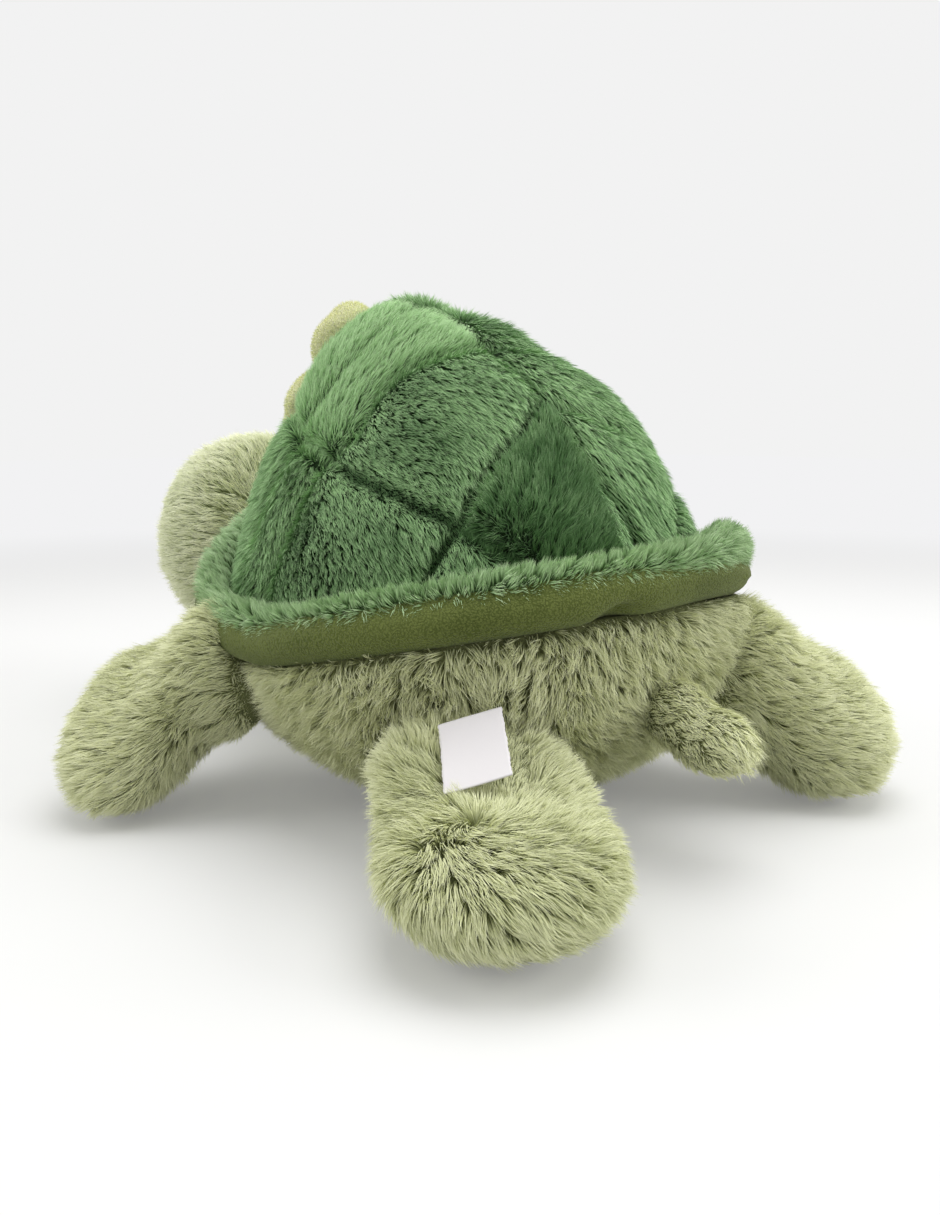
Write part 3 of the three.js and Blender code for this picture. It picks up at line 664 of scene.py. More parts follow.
def buildStage():
    reach = stageSettings["halfWidth"]
    floor = meshObject("floor", [(-reach, -reach, 0), (reach, -reach, 0), (reach, reach, 0),
                                 (-reach, reach, 0)], [(0, 1, 2, 3)])
    floor.data.materials.append(floorMaterial())


setCamera()
setLights()
buildStage()
print("camera, lights and stage")

# Finishes of the toy

# Each fur's root colour is painted shade deep in the pile and its tip colour a painted sheen; its dark
# and light colours span its tone.
sageFur = furMaterial("sage fur", (152, 158, 110), (198, 203, 153), (240, 243, 197), (248, 250, 214))
headFur = furMaterial("pale sage fur", (156, 168, 119), (206, 215, 166), (243, 247, 208),
                      (251, 252, 226))
greenFur = furMaterial("green fur", (60, 92, 51), (95, 137, 82), (166, 208, 143), (203, 237, 181))
mintFur = furMaterial("mint fur", (110, 142, 90), (156, 190, 134), (206, 233, 183), (228, 249, 207))
petalPile = furMaterial("petal pile", (238, 240, 184), (244, 246, 197), (250, 250, 213),
                        (252, 252, 230))
# The sage, pale sage, green and mint backings are darker than their fur's roots: painted shade at the
# foot of the pile.
sageSkin = clothMaterial("sage backing", (124, 130, 86))
headSkin = clothMaterial("pale sage backing", (132, 142, 96))
greenSkin = clothMaterial("green backing", (46, 71, 38))
mintSkin = clothMaterial("mint backing", (60, 82, 44))
petalSkin = clothMaterial("petal backing", (246, 247, 198))
whiteFibre = clothMaterial("white fibre", (244, 244, 240), size=2.5, bump=0.8)
bagCloth = clothMaterial("bag cloth", (214, 208, 192), size=0.9)
blackPlastic = plasticMaterial("black plastic", (14, 13, 12), 0.08)
washerPlastic = plasticMaterial("washer plastic", (232, 232, 226), 0.45)
whiteSatin = satinMaterial("white satin", (243, 240, 241), (222, 218, 220))
oliveVelour = pebbleMaterial("olive velour", (114, 125, 64), (78, 89, 38), 0.8, 0.4)

# Body, limbs, head and tail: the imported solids' forms, with finer faces; limbLooks fills some out

bodySize = {"halfWidth": 122, "halfLength": 124, "bellyHeight": 90, "backHeight": 66,
            "planExponent": 2.3, "riseExponent": 2.1, "restFlat": 0.5}
pile = 8  # how far a long-furred skin lies inside the strands' tips
floorPile = {"from": 2, "body": 14, "limb": 12}  # heights where the pile is pressed by the floor


def bodyPoints(turn, run, grow):
    size = bodySize
    plan = 2 * math.pi * turn
    rise = math.pi * (run - 0.5)
    width = power(np.cos(rise), 2 / size["riseExponent"])
    halfHeight = np.where(rise > 0, size["backHeight"], size["bellyHeight"]) + grow
    planShare, riseShare = 2 / size["planExponent"], 2 / size["riseExponent"]
    return np.stack([
        (size["halfWidth"] + grow) * width * power(np.cos(plan), planShare),
        (size["halfLength"] + grow) * width * power(np.sin(plan), planShare),
        size["bellyHeight"] - size["restFlat"] + halfHeight * power(np.sin(rise), riseShare),
    ], axis=-1)


def bodySurface(degrees, height, standoff):
    size = bodySize
    above = height > size["bellyHeight"]
    rise = (height + size["restFlat"] - size["bellyHeight"]) / (
        size["backHeight"] if above else size["bellyHeight"])
    width = (1 - abs(rise) ** size["riseExponent"]) ** (1 / size["riseExponent"])
    out = level(degrees)
    plan = (abs(out[0] / size["halfWidth"]) ** size["planExponent"]
            + abs(out[1] / size["halfLength"]) ** size["planExponent"])
    place = out * (width / plan ** (1 / size["planExponent"]) + standoff)
    place[2] = height
    return place


frontFlipper = {"seamHeight": 62, "standoff": 1, "reach": 80, "rootHalfWidth": 34,
                "rootRadius": 28, "halfWidth": 50, "halfThickness": 29, "tipRadius": 33}
limbs = {
    "front_left_flipper": {**frontFlipper, "seam": -26, "heading": -46, "roll": -31},
    "front_right_flipper": {**frontFlipper, "seam": 206, "heading": 226, "roll": 31},
    "hind_left_flipper": {
        "seamHeight": 45, "standoff": 1, "reach": 100, "rootHalfWidth": 38, "rootRadius": 29,
        "halfWidth": 45, "halfThickness": 28, "tipRadius": 46, "seam": 46, "heading": 59, "roll": -2},
    "hind_right_flipper": {
        "seamHeight": 56, "standoff": 1, "reach": 84, "rootHalfWidth": 36, "rootRadius": 32,
        "halfWidth": 45, "halfThickness": 30, "tipRadius": 34, "seam": 129, "heading": 143, "roll": 28},
    "head": {
        "seamHeight": 86, "standoff": 1, "reach": 158, "tipHeight": 108, "rootHalfWidth": 34,
        "rootRadius": 31, "halfWidth": 62, "halfThickness": 67, "tipRadius": 76, "seam": -90,
        "heading": -90, "roll": 0},
    "tail": {
        "seamHeight": 62, "standoff": 1, "reach": 38, "tipHeight": 54, "rootHalfWidth": 18,
        "rootRadius": 18, "halfWidth": 16, "halfThickness": 16, "tipRadius": 18, "seam": 90,
        "heading": 90, "roll": 0},
}
swellShare, dropShare = 0.55, 0.5


def limbFrame(spec):
    root = bodySurface(spec["seam"], spec["seamHeight"], spec["standoff"])
    root[2] -= bodySize["restFlat"]
    heading = level(spec["heading"])
    side = turnedAbout(np.cross(upward, heading), heading, spec["roll"])
    return root, heading, side, np.cross(heading, side)


def limbSection(spec, travel, inset):
    # where a limb's middle runs, so far from its root, and its half width and thickness there
    root, heading = limbFrame(spec)[:2]
    roll = math.radians(spec["roll"])
    tipHeight = spec.get("tipHeight", math.hypot(
        spec["halfWidth"] * math.sin(roll), spec["halfThickness"] * math.cos(roll)))
    start, end = inset - spec["rootRadius"], spec["reach"] - inset
    before = np.clip(1 - (travel - start) / (spec["rootRadius"] - inset), 0, 1)
    past = np.clip(1 - (end - travel) / (spec["tipRadius"] - inset), 0, 1)
    closing = np.sqrt((1 - before ** 2) * (1 - past ** 2))
    swell = smooth(travel / (spec["reach"] * swellShare))
    drop = (tipHeight - spec["seamHeight"]) * smooth(travel / (spec["reach"] * dropShare))
    across = spec["rootHalfWidth"] + (spec["halfWidth"] - spec["rootHalfWidth"]) * swell - inset
    deep = spec["rootRadius"] + (spec["halfThickness"] - spec["rootRadius"]) * swell - inset
    middle = root + travel[:, None] * heading + drop[:, None] * upward
    return middle, across * closing, deep * closing


def limbPoints(spec, turn, run, inset):
    side, top = limbFrame(spec)[2:]
    start, end = inset - spec["rootRadius"], spec["reach"] - inset
    travel = start + (end - start) * (1 - np.cos(math.pi * run)) / 2
    middle, across, deep = limbSection(spec, travel, inset)
    return (middle + (across * np.cos(2 * math.pi * turn))[:, None] * side
            + (deep * np.sin(2 * math.pi * turn))[:, None] * top)


def withinLimb(spec, places, inset):
    root, heading, side, top = limbFrame(spec)
    travel = (places - root) @ heading
    middle, across, deep = limbSection(spec, travel, inset)
    aside = ((places - middle) @ side) / np.maximum(across, 1e-6)
    above = ((places - middle) @ top) / np.maximum(deep, 1e-6)
    return (across > 0) & (aside ** 2 + above ** 2 < 1)


def restOnFloor(places, floor=1.0):
    places[:, 2] = np.maximum(places[:, 2], floor)
    return places


# Shell: the quilted dome, its rim and the velour under it

shellSize = {"halfWidth": 105, "halfLength": 117, "centreY": -10, "topHeight": 244,
             "rimHeight": 91, "frontRise": 47, "rearRise": 29, "skirt": 3, "arch": 30, "panel": 3,
             "topForward": 50, "planExponent": 2.33, "frontExponent": 0.86, "rearExponent": 2.74,
             "edgeExponent": 1.51, "frontRiseExponent": 4.3, "rearRiseExponent": 1.05}
bandSize = {"outset": 5.5, "halfWidth": 14, "halfHeight": 11, "lift": -5.5}
quilt = {"depth": 5.5, "halfWidth": 3.6, "puff": 3.5, "puffWidth": 20, "shift": 12, "hem": 25}
spineSeam = ((0, -0.45), (-0.03, -0.09), (0.02, 0.3), (-0.01, 0.57), (-0.06, 0.82), (-0.15, 0.92),
             (-0.15, 1.1))
sideSeams = (
    # flank, rear, middle and front: shares of the half width and of the half length
    ((0.42, -0.66), (0.62, -0.4), (0.74, -0.22), (0.81, 0.02), (0.83, 0.2), (0.81, 0.34),
     (0.75, 0.52), (0.66, 0.66), (0.58, 0.76), (0.47, 0.86), (0.42, 0.98)),
    ((0, 0.57), (0.24, 0.65), (0.45, 0.66), (0.66, 0.66), (0.74, 0.63), (0.82, 0.59), (1, 0.52)),
    ((0, 0.26), (0.2, 0.25), (0.35, 0.22), (0.5, 0.17), (0.62, 0.14), (0.75, 0.14), (0.81, 0.02),
     (0.92, -0.13), (0.97, -0.21), (1.1, -0.3)),
    ((0, -0.17), (0.23, -0.16), (0.38, -0.13), (0.51, -0.13), (0.63, -0.17), (0.71, -0.25),
     (0.85, -0.45)),
)


def rimHeightAt(sine):
    size = shellSize
    return (size["rimHeight"]
            + size["frontRise"] * np.maximum(0, -sine) ** size["frontRiseExponent"]
            + size["rearRise"] * np.maximum(0, sine) ** size["rearRiseExponent"])


def planShares(turn):
    share = 2 / shellSize["planExponent"]
    return power(np.cos(2 * math.pi * turn), share), power(np.sin(2 * math.pi * turn), share)


def domePoints(turn, rise, grow):
    size = shellSize
    cosine, sine = planShares(turn)
    middleExponent = (size["frontExponent"] + size["rearExponent"]) / 2
    exponent = middleExponent + (size["rearExponent"] - middleExponent) * sine
    width = np.maximum(0, 1 - rise ** exponent) ** (1 / size["edgeExponent"])
    foot = rimHeightAt(sine) - size["skirt"]
    return np.stack([
        (size["halfWidth"] + grow) * cosine * width,
        size["centreY"] + (size["halfLength"] + grow) * sine * width - size["topForward"] * rise,
        foot + (size["topHeight"] + grow - foot) * rise,
    ], axis=-1)


def domeSurface(grow):
    # the dome as a surface that a ray can find
    around, rings = 160, 90
    rise = np.repeat(np.arange(rings) / (rings - 1), around)
    turn = np.tile(np.arange(around) / around, rings)
    faces = [(ring * around + step, ring * around + (step + 1) % around,
              (ring + 1) * around + (step + 1) % around, (ring + 1) * around + step)
             for ring in range(rings - 1) for step in range(around)]
    return BVHTree.FromPolygons(domePoints(turn, rise, grow).tolist(), faces)


def along(line, step):
    # the points of a line at even steps
    lengths = np.linalg.norm(np.diff(line, axis=0), axis=1)
    run = np.concatenate([[0], np.cumsum(lengths)])
    steps = np.arange(0, run[-1], step)
    return np.stack([np.interp(steps, run, line[:, at]) for at in range(line.shape[1])], axis=-1)


def seamTree():
    # each seam is laid out in plan, dropped onto the dome and kept as close points
    surface = domeSurface(0)
    down = Vector((0, 0, -1))
    points = []
    for seam, hands in [(spineSeam, (1,))] + [(seam, (1, -1)) for seam in sideSeams]:
        across, back = np.array(seam).T
        for hand in hands:
            plan = np.stack([
                hand * across * shellSize["halfWidth"] + quilt["shift"] * (1 - np.minimum(1, across)),
                shellSize["centreY"] + back * shellSize["halfLength"]], axis=-1)
            hits = [surface.ray_cast(Vector((x, y, 400)), down) for x, y in along(plan, 1)]
            line = np.array([hit - normal * math.copysign(shellPile, normal.z)
                             for hit, normal, _, _ in hits if hit is not None])
            if len(hits) > len(line):
                line = np.vstack([line, line[-1] - upward * quilt["hem"]])
            points.append(along(line, 0.8))
    points = np.vstack(points)
    tree = KDTree(len(points))
    for at, point in enumerate(points):
        tree.insert(point, at)
    tree.balance()
    return tree


def seamDistance(places):
    return np.array([shellSeams.find(place)[2] for place in places])


def tubePoints(size, turn, side, grow):
    cosine, sine = planShares(turn)
    out = size["outset"] + (size["halfWidth"] + grow) * np.cos(2 * math.pi * side)
    return np.stack([
        (shellSize["halfWidth"] + out) * cosine,
        shellSize["centreY"] + (shellSize["halfLength"] + out) * sine,
        rimHeightAt(sine) + size["lift"] + (size["halfHeight"] + grow) * np.sin(2 * math.pi * side),
    ], axis=-1)


shellPile = 5
shellSeams = seamTree()


def underShell(places):
    # the highest that the body may reach under the shell's velour
    size = shellSize
    exponent = size["planExponent"]
    across = np.abs(places[:, 0]) / size["halfWidth"]
    along = np.abs(places[:, 1] - size["centreY"]) / size["halfLength"]
    share = (across ** exponent + along ** exponent) ** (1 / exponent)
    sine = (places[:, 1] - size["centreY"]) / size["halfLength"] / np.maximum(share, 1e-6)
    bandReach = ((share - 1) * (size["halfWidth"] + size["halfLength"]) / 2
                 - bandSize["outset"]) / bandSize["halfWidth"]
    below = bandSize["halfHeight"] * np.sqrt(np.clip(1 - bandReach ** 2, 0, 1))
    edge = rimHeightAt(sine) + bandSize["lift"] - below
    middle = size["rimHeight"] + size["arch"] - size["panel"] - 2
    inner = middle + (edge - middle) * np.clip(share, 0, 1)
    return np.where(np.abs(bandReach) < 1, edge, np.where(bandReach < 0, inner, np.inf)), bandReach < 1


def dress(skin, nap, length, shade, backing):
    # what the fur reads from its skin, and the cloth that it grows from
    keep(skin, "nap", nap)
    keep(skin, "pile", length)
    keep(skin, "shade", shade)
    skin.data.materials.append(backing)


# Stuffing: a skin swells between the places that hold it, and its mesh is made finer

clothSettings = {"pressure": 4.0, "frames": 20, "stiffness": 18, "bending": 0.6, "mass": 0.3,
                 "quality": 4}


def stuff(piece, cap, held=None):
    places, _ = placesOf(piece)
    cloth = clothSettings
    modifier = piece.modifiers.new("swelling", "CLOTH")
    settings = modifier.settings
    settings.quality = cloth["quality"]
    settings.mass = cloth["mass"]
    settings.tension_stiffness = settings.compression_stiffness = cloth["stiffness"]
    settings.shear_stiffness = cloth["stiffness"]
    settings.bending_stiffness = cloth["bending"]
    settings.use_pressure = True
    settings.uniform_pressure_force = cloth["pressure"]
    settings.effector_weights.gravity = 0
    if held is not None:
        group = piece.vertex_groups.new(name="held")
        group.add(np.nonzero(held)[0].tolist(), 1.0, "REPLACE")
        settings.vertex_group_mass = "held"
    modifier.point_cache.frame_start = 1
    modifier.point_cache.frame_end = cloth["frames"]
    for frameNumber in range(1, cloth["frames"] + 1):
        bpy.context.scene.frame_set(frameNumber)
    swollen = piece.evaluated_get(bpy.context.evaluated_depsgraph_get()).data
    moved = np.empty(len(places) * 3, np.float32)
    swollen.vertices.foreach_get("co", moved)
    moved = moved.reshape(-1, 3).astype(float) / mm - places
    length = np.linalg.norm(moved, axis=1, keepdims=True)
    places += moved * np.minimum(1, cap / np.maximum(length, 1e-6))
    piece.modifiers.remove(modifier)
    piece.vertex_groups.clear()
    bpy.context.scene.frame_set(1)
    print(piece.name, "swelled by", round(float(np.median(length)), 1), "mm")
    reshape(piece, places)
    finer = piece.modifiers.new("finer", "SUBSURF")
    finer.levels = finer.render_levels = 1
    keepResult(piece, finer)
    return piece


def uneven(piece, size, depth, seed):
    # the slow lumps of hand-filled fibre
    places, normals = placesOf(piece)
    reshape(piece, places + normals * (drift(places, size, seed)[:, :1] * depth))


def finishPiece(piece, body, nodes=()):
    if nodes:
        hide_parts(*nodes)
    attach(piece, body)


def fillWith(name, around, rings, pointsAt, body, node):
    # loose fibre that fills a cover
    piece = closedForm(name + "_fibre", around, rings, pointsAt)
    uneven(piece, 12, 1.0, 71)
    piece.data.materials.append(whiteFibre)
    finishPiece(piece, body, (node,))


# Shell

shellForm = {"around": 150, "domeRings": 58, "tentRings": 5, "tentGap": 3, "evenRise": 0.4,
             "swell": 5, "heldBeside": 6, "hem": 12, "hemFade": 10, "lumpSize": 26, "lump": 0.7}


def shellSkin():
    # a closed dome whose underside is a shallow tent over the body
    form = shellForm
    domeRings, tentRings = form["domeRings"], form["tentRings"]
    rings = domeRings + tentRings
    middleHeight = shellSize["rimHeight"] + shellSize["arch"] + form["tentGap"]
    under = np.array((0, shellSize["centreY"], middleHeight))

    def pointsAt(turn, run):
        ring = np.round(run * rings)
        climb = np.clip((ring - tentRings) / domeRings, 0, 1)
        even = form["evenRise"]
        rise = even * climb + (1 - even) * (1 - (1 - climb) ** 2)
        places = domePoints(turn, rise, -shellPile)
        inward = np.clip(ring / tentRings, 0, 1)[:, None]
        return under + (places - under) * inward
    skin = closedForm("shell_cover_skin", form["around"], rings, pointsAt)
    places, normals = placesOf(skin)
    stuff(skin, form["swell"], (seamDistance(places) < form["heldBeside"]) | (normals[:, 2] < 0.05))
    places, normals = placesOf(skin)
    distance = seamDistance(places)
    outside = smooth((normals[:, 2] + 0.5) / 0.3) * smooth(
        (places[:, 2] - (shellSize["rimHeight"] - form["hem"])) / form["hemFade"])
    groove = quilt["depth"] * near(distance, quilt["halfWidth"])
    puff = quilt["puff"] * (1 - near(distance, quilt["puffWidth"]))
    lumps = drift(places, form["lumpSize"], 4)[:, 0] * form["lump"]
    reshape(skin, places + normals * ((puff - groove + lumps) * outside)[:, None])
    return skin, distance, outside


def scuteOf(places):
    # hand, whether it lies past the flank seam, and its row counted towards the tail
    across = (places[:, 0] - quilt["shift"]) / (shellSize["halfWidth"] - quilt["shift"])
    along = (places[:, 1] - shellSize["centreY"]) / shellSize["halfLength"]
    flank, rear, middle, front = (np.array(seam).T for seam in sideSeams)
    flank = np.interp(along, flank[1], flank[0])
    row = sum((along > np.interp(np.abs(across), *seam)).astype(int) for seam in (front, middle, rear))
    return np.sign(across), np.abs(across) > flank, row


# each scute's nap as shares down the dome and towards the tail, and its tone, painted lighter or darker
# for the light and shade that its nap and slope catch
scuteNaps = {
    (False, 0): (-0.7, -0.2, 1.15), (False, 1): (-0.75, 0.1, 1.0),
    (False, 2): (0.4, 0.85, 0.5), (False, 3): (-0.25, -0.15, 0.0),
    (True, 0): (0.7, -0.2, 0.5), (True, 1): (0.7, 0.4, 0.48),
    (True, 2): (0.5, 0.75, 0.42), (True, 3): (0.4, 0.4, 0.15),
}
hiddenSideNap = (0.85, 0.15, 0.42)
shellLook = {
    # the pile left in a seam, the painted shade at its bottom and the painted highlight on the puff
    # beside it
    "seamPile": 0.25, "seamReach": 5.5, "seamShade": 0.6, "seamShadeReach": 2.6, "ridgeHighlight": 0.22, "ridgeAt": 7,
    "ridgeReach": 3.5, "napStray": 0.16, "toneStray": 0.14}


def dressShell(skin, distance, outside, covered):
    look = shellLook
    places, normals = placesOf(skin)
    hand, marginal, row = scuteOf(places + normals * shellPile)
    outward = (places - (0, shellSize["centreY"], 0)) * (1, 0.6, 0)
    downhill = unit(unit(outward) - upward * 0.9)
    tailward = np.array((0.0, 1.0, 0.0))
    nap = np.zeros_like(places)
    tone = np.zeros(len(places))
    # each scute's tone paints in the light and shade that its nap and slope catch; the hidden side takes
    # one tone
    for (isMarginal, isRow), (down, rear, shade) in scuteNaps.items():
        here = (marginal == isMarginal) & (row == isRow)
        nap[here] = down * downhill[here] + rear * tailward
        tone[here] = shade
    right = hand < 0
    down, rear, shade = hiddenSideNap
    nap[right] = down * downhill[right] + rear * tailward
    tone[right] = shade
    nap = alongSkin(nap, normals)
    nap += look["napStray"] * drift(places, 16, 11)
    length = outside * atLeast(look["seamPile"], smooth(distance / look["seamReach"])) * ~covered
    # painted shade darkens the seam bottoms; a painted highlight lightens the puffs beside them
    seamShade = look["seamShade"] * near(distance, look["seamShadeReach"])
    ridgeHighlight = look["ridgeHighlight"] * near(distance - look["ridgeAt"], look["ridgeReach"])
    shade = (tone - seamShade + ridgeHighlight + look["toneStray"] * drift(places, 14, 12)[:, 0]
             + look["toneStray"] * drift(places, 5, 13)[:, 0])
    dress(skin, nap, length, shade, greenSkin)


shellFur = {"perSquareMm": 2.7, "length": 8.5, "halfWidth": 0.18, "lengthSpread": 0.35,
            "upright": 0.42, "bend": 0.25, "tuftSpacing": 2.4, "tufting": 0.2, "tuftStray": 0.16,
            "strandStray": 0.14, "seed": 21}
rimFur = {"perSquareMm": 2.2, "length": 7.5, "halfWidth": 0.2, "lengthSpread": 0.4,
          "upright": 0.6, "bend": 0.3, "tuftSpacing": 4.2, "tufting": 0.46, "tuftStray": 0.3,
          "strandStray": 0.18, "seed": 31}
longFur = {"perSquareMm": 1.8, "length": 11.5, "halfWidth": 0.21, "lengthSpread": 0.4,
           "upright": 0.5, "bend": 0.3, "tuftSpacing": 3.4, "tufting": 0.3, "tuftStray": 0.24,
           "strandStray": 0.2, "seed": 41}
tailFur = {"upright": 0.4, "tufting": 0.25, "tuftStray": 0.18, "lengthSpread": 0.6}
velourFuzz = {"perSquareMm": 1.4, "length": 2.2, "halfWidth": 0.17, "lengthSpread": 0.5,
              "upright": 0.9, "bend": 0.2, "tuftSpacing": 1.5, "tufting": 0.2, "tuftStray": 0.3,
              "strandStray": 0.5, "seed": 35}


def makeShell(covered):
    skin, distance, outside = shellSkin()
    dressShell(skin, distance, outside, covered(placesOf(skin)[0]))
    parts = {
        "shell_fur_left": (1, lambda places: (places[:, 0] > 12) & (places[:, 1] < 0)),
        "shell_fur_left_rear": (1, lambda places: (places[:, 0] > 12) & (places[:, 1] >= 0)),
        "shell_fur_right": (0.62, lambda places: (places[:, 0] <= 12) & (places[:, 1] < 20)),
        "shell_fur_right_rear": (0.62, lambda places: (places[:, 0] <= 12) & (places[:, 1] >= 20)),
    }
    for at, (name, (sparse, share)) in enumerate(parts.items()):
        fur = {**shellFur, "perSquareMm": shellFur["perSquareMm"] * sparse,
               "halfWidth": shellFur["halfWidth"] / sparse ** 0.5, "seed": shellFur["seed"] + at}
        coat = growFur(skin, name, fur, greenFur, share)
        finishPiece(coat, "torso")
    finishPiece(skin, "torso", ("shell_cover",))
    lift = np.array((0, 0, 4))
    centre = np.array((0, shellSize["centreY"], shellSize["rimHeight"] + shellSize["arch"]))

    def fibre(turn, run):
        places = domePoints(turn, np.clip(run * 1.25 - 0.25, 0, 1), -28)
        inward = np.clip(run * 5, 0, 1)[:, None]
        return centre + (places - centre) * inward + lift
    fillWith("shell_filling", 72, 30, fibre, "torso", "shell_filling")


rimSkin = {"outset": 7, "halfWidth": 7, "halfHeight": 4, "lift": 2.4}
rimCurl = {"place": (-60, 98), "reach": 36, "rise": 8}  # the rim turns up beside the tail


def makeRim():
    roll = closedLoop("shell_rim_roll_skin", 130, 14,
                      lambda turn, side: tubePoints(rimSkin, turn, side, 0))
    stuff(roll, 2)
    uneven(roll, 18, 0.9, 5)
    places, normals = placesOf(roll)
    distance = np.linalg.norm(places[:, :2] - np.array(rimCurl["place"]), axis=1)
    curl = rimCurl["rise"] * near(distance, rimCurl["reach"])
    reshape(roll, places + upward * (curl * (0.5 + 0.5 * normals[:, 2]))[:, None])
    places, normals = placesOf(roll)
    out = unit((places - (0, shellSize["centreY"], 0)) * (1, 1, 0))
    inner = np.einsum("ij,ij->i", normals, out)
    nap = 0.6 * out + 0.5 * upward * normals[:, 2:] + 0.25 * drift(places, 20, 15)
    length = np.where((inner < -0.75) | (normals[:, 2] < -0.85), 0.0, 1.0)
    dress(roll, nap, length, 0.5 + 0.12 * drift(places, 16, 16)[:, 0], mintSkin)
    finishPiece(growFur(roll, "shell_rim_fur", rimFur, mintFur), "torso")
    finishPiece(roll, "torso", ("shell_rim_roll",))


bandFold = {"place": (33, 118, 104), "reach": 9, "depth": 6}  # where the bent edge puckers
bandThin = {"place": (-40, 125), "reach": 60, "depth": 1.5}  # the edge is pulled in at the tail


def makeBand():
    # the padded velour edge, joined to the thin panel that closes the shell
    band = closedLoop("shell_underside_velour", 150, 16,
                      lambda turn, side: tubePoints(bandSize, turn, side, 0))
    stuff(band, 2)
    uneven(band, 26, 0.8, 6)
    places, normals = placesOf(band)
    distance = np.linalg.norm(places - np.array(bandFold["place"]), axis=1)
    pucker = bandFold["depth"] * near(distance, bandFold["reach"])
    fromTail = np.linalg.norm(places[:, :2] - np.array(bandThin["place"]), axis=1)
    pucker += bandThin["depth"] * near(fromTail, bandThin["reach"]) * (normals[:, 2] < 0)
    reshape(band, places - normals * pucker[:, None])
    middle = np.array((0, shellSize["centreY"], shellSize["rimHeight"] + shellSize["arch"] - 1))

    def panelAt(turn, run):
        reach = np.minimum(1, 1 - np.abs(2 * run - 1))[:, None]
        edge = domePoints(turn, np.zeros_like(turn), -2) - (0, 0, 4)
        return middle + (edge - middle) * reach + upward * np.where(run > 0.5, 0.0, -1.5)[:, None]
    panel = closedForm("panel", 96, 16, panelAt)
    with bpy.context.temp_override(active_object=band, selected_editable_objects=[band, panel]):
        bpy.ops.object.join()
    band.data.materials.append(oliveVelour)
    finishPiece(band, "torso", ("shell_underside",))


# Flower: puffed velour petals and a middle, sewn to the front of the shell

flowerSize = {"petals": 5, "turnDegrees": 40, "ringRadius": 37, "halfLength": 25, "halfWidth": 21,
              "thickness": 13, "sink": 6, "middleRadius": 14, "middleThickness": 12,
              "riseShare": 0.61, "frontShare": 0.75, "nearbyShare": 0.01}


def flowerSeat():
    # finds places on the dome, looking out from a point inside it
    size = flowerSize
    dome = domeSurface(0)
    front = np.array([size["frontShare"]])
    middle = domePoints(front, np.array([size["riseShare"]]), 0)[0]
    higher = domePoints(front, np.array([size["riseShare"] + size["nearbyShare"]]), 0)[0]
    up = unit(higher - middle)
    inside = Vector((0, shellSize["centreY"] - shellSize["topForward"] * size["riseShare"], middle[2]))

    def seat(sideways, upwards, height):
        seated = []
        for aside, above, high in zip(sideways, upwards, height):
            aim = Vector(middle + (aside, 0, 0) + up * above)
            direction = (aim - inside).normalized()
            seated.append(dome.ray_cast(inside, direction)[0] + direction * high)
        return np.array(seated)
    return seat, middle


seatOnDome, flowerPlace = flowerSeat()


def petalAngle(at):
    return 2 * math.pi * at / flowerSize["petals"] + math.radians(flowerSize["turnDegrees"])


def petal(name, node, halfLength, halfWidth, thickness, distance, angle, seed):
    def pointsAt(turn, run):
        tilt = math.pi * (run - 0.5)
        reach = np.cos(tilt) ** 0.75
        height = np.where(run > 0.5, thickness * np.abs(np.sin(tilt)) ** 0.9,
                          -flowerSize["sink"] * np.abs(np.sin(tilt)) ** 0.5)
        along = distance + halfLength * reach * np.cos(2 * math.pi * turn)
        aside = halfWidth * reach * np.sin(2 * math.pi * turn)
        crease = 1.6 * near(aside, 5) * (along > distance - halfLength * 0.2) * (distance > 0)
        return seatOnDome(along * math.sin(angle) + aside * math.cos(angle),
                          along * math.cos(angle) - aside * math.sin(angle), height - crease)
    piece = stuff(closedForm(name, 40, 24, pointsAt), 2)
    uneven(piece, 14, 0.5, seed)
    places, _ = placesOf(piece)
    dress(piece, 0.4 * unit(places - flowerPlace), np.ones(len(places)),
          0.5 + 0.1 * drift(places, 10, seed)[:, 0], petalSkin)
    fuzz = growFur(piece, name + "_fuzz", {**velourFuzz, "seed": seed}, petalPile)
    finishPiece(fuzz, "torso")
    finishPiece(piece, "torso", (node,))


def makeFlower():
    size = flowerSize
    petal("flower_middle_velour", "flower_middle", size["middleRadius"], size["middleRadius"],
          size["middleThickness"], 0, 0, 80)
    for at in range(size["petals"]):
        angle = petalAngle(at)
        petal(f"flower_petal_{at + 1}_velour", f"flower_petal_{at + 1}", size["halfLength"],
              size["halfWidth"], size["thickness"], size["ringRadius"], angle, 81 + at)


def underFlower(places):
    # the ground that the sewn petals cover
    covered = np.linalg.norm(places - flowerPlace, axis=1) < flowerSize["middleRadius"] * 1.2
    for at in range(flowerSize["petals"]):
        angle = petalAngle(at)
        distance = flowerSize["ringRadius"]
        centre = seatOnDome([distance * math.sin(angle)], [distance * math.cos(angle)], [0])[0]
        covered |= np.linalg.norm(places - centre, axis=1) < flowerSize["halfWidth"] * 0.8
    return covered


# Body

bodyFolds = (
    # where the filled body creases: two ends, how far it reaches and how deep it is
    {"from": (10, 123, 98), "to": (-6, 123, 74), "reach": 5, "depth": 4},
    {"from": (111, 43, 57), "to": (96, 84, 77), "reach": 6, "depth": 3},
    {"from": (96, 84, 77), "to": (60, 112, 76), "reach": 6, "depth": 3},
)
bodySwell = {"place": (-66, 100, 98), "reach": 30, "by": 6}  # fills the corner under the rim


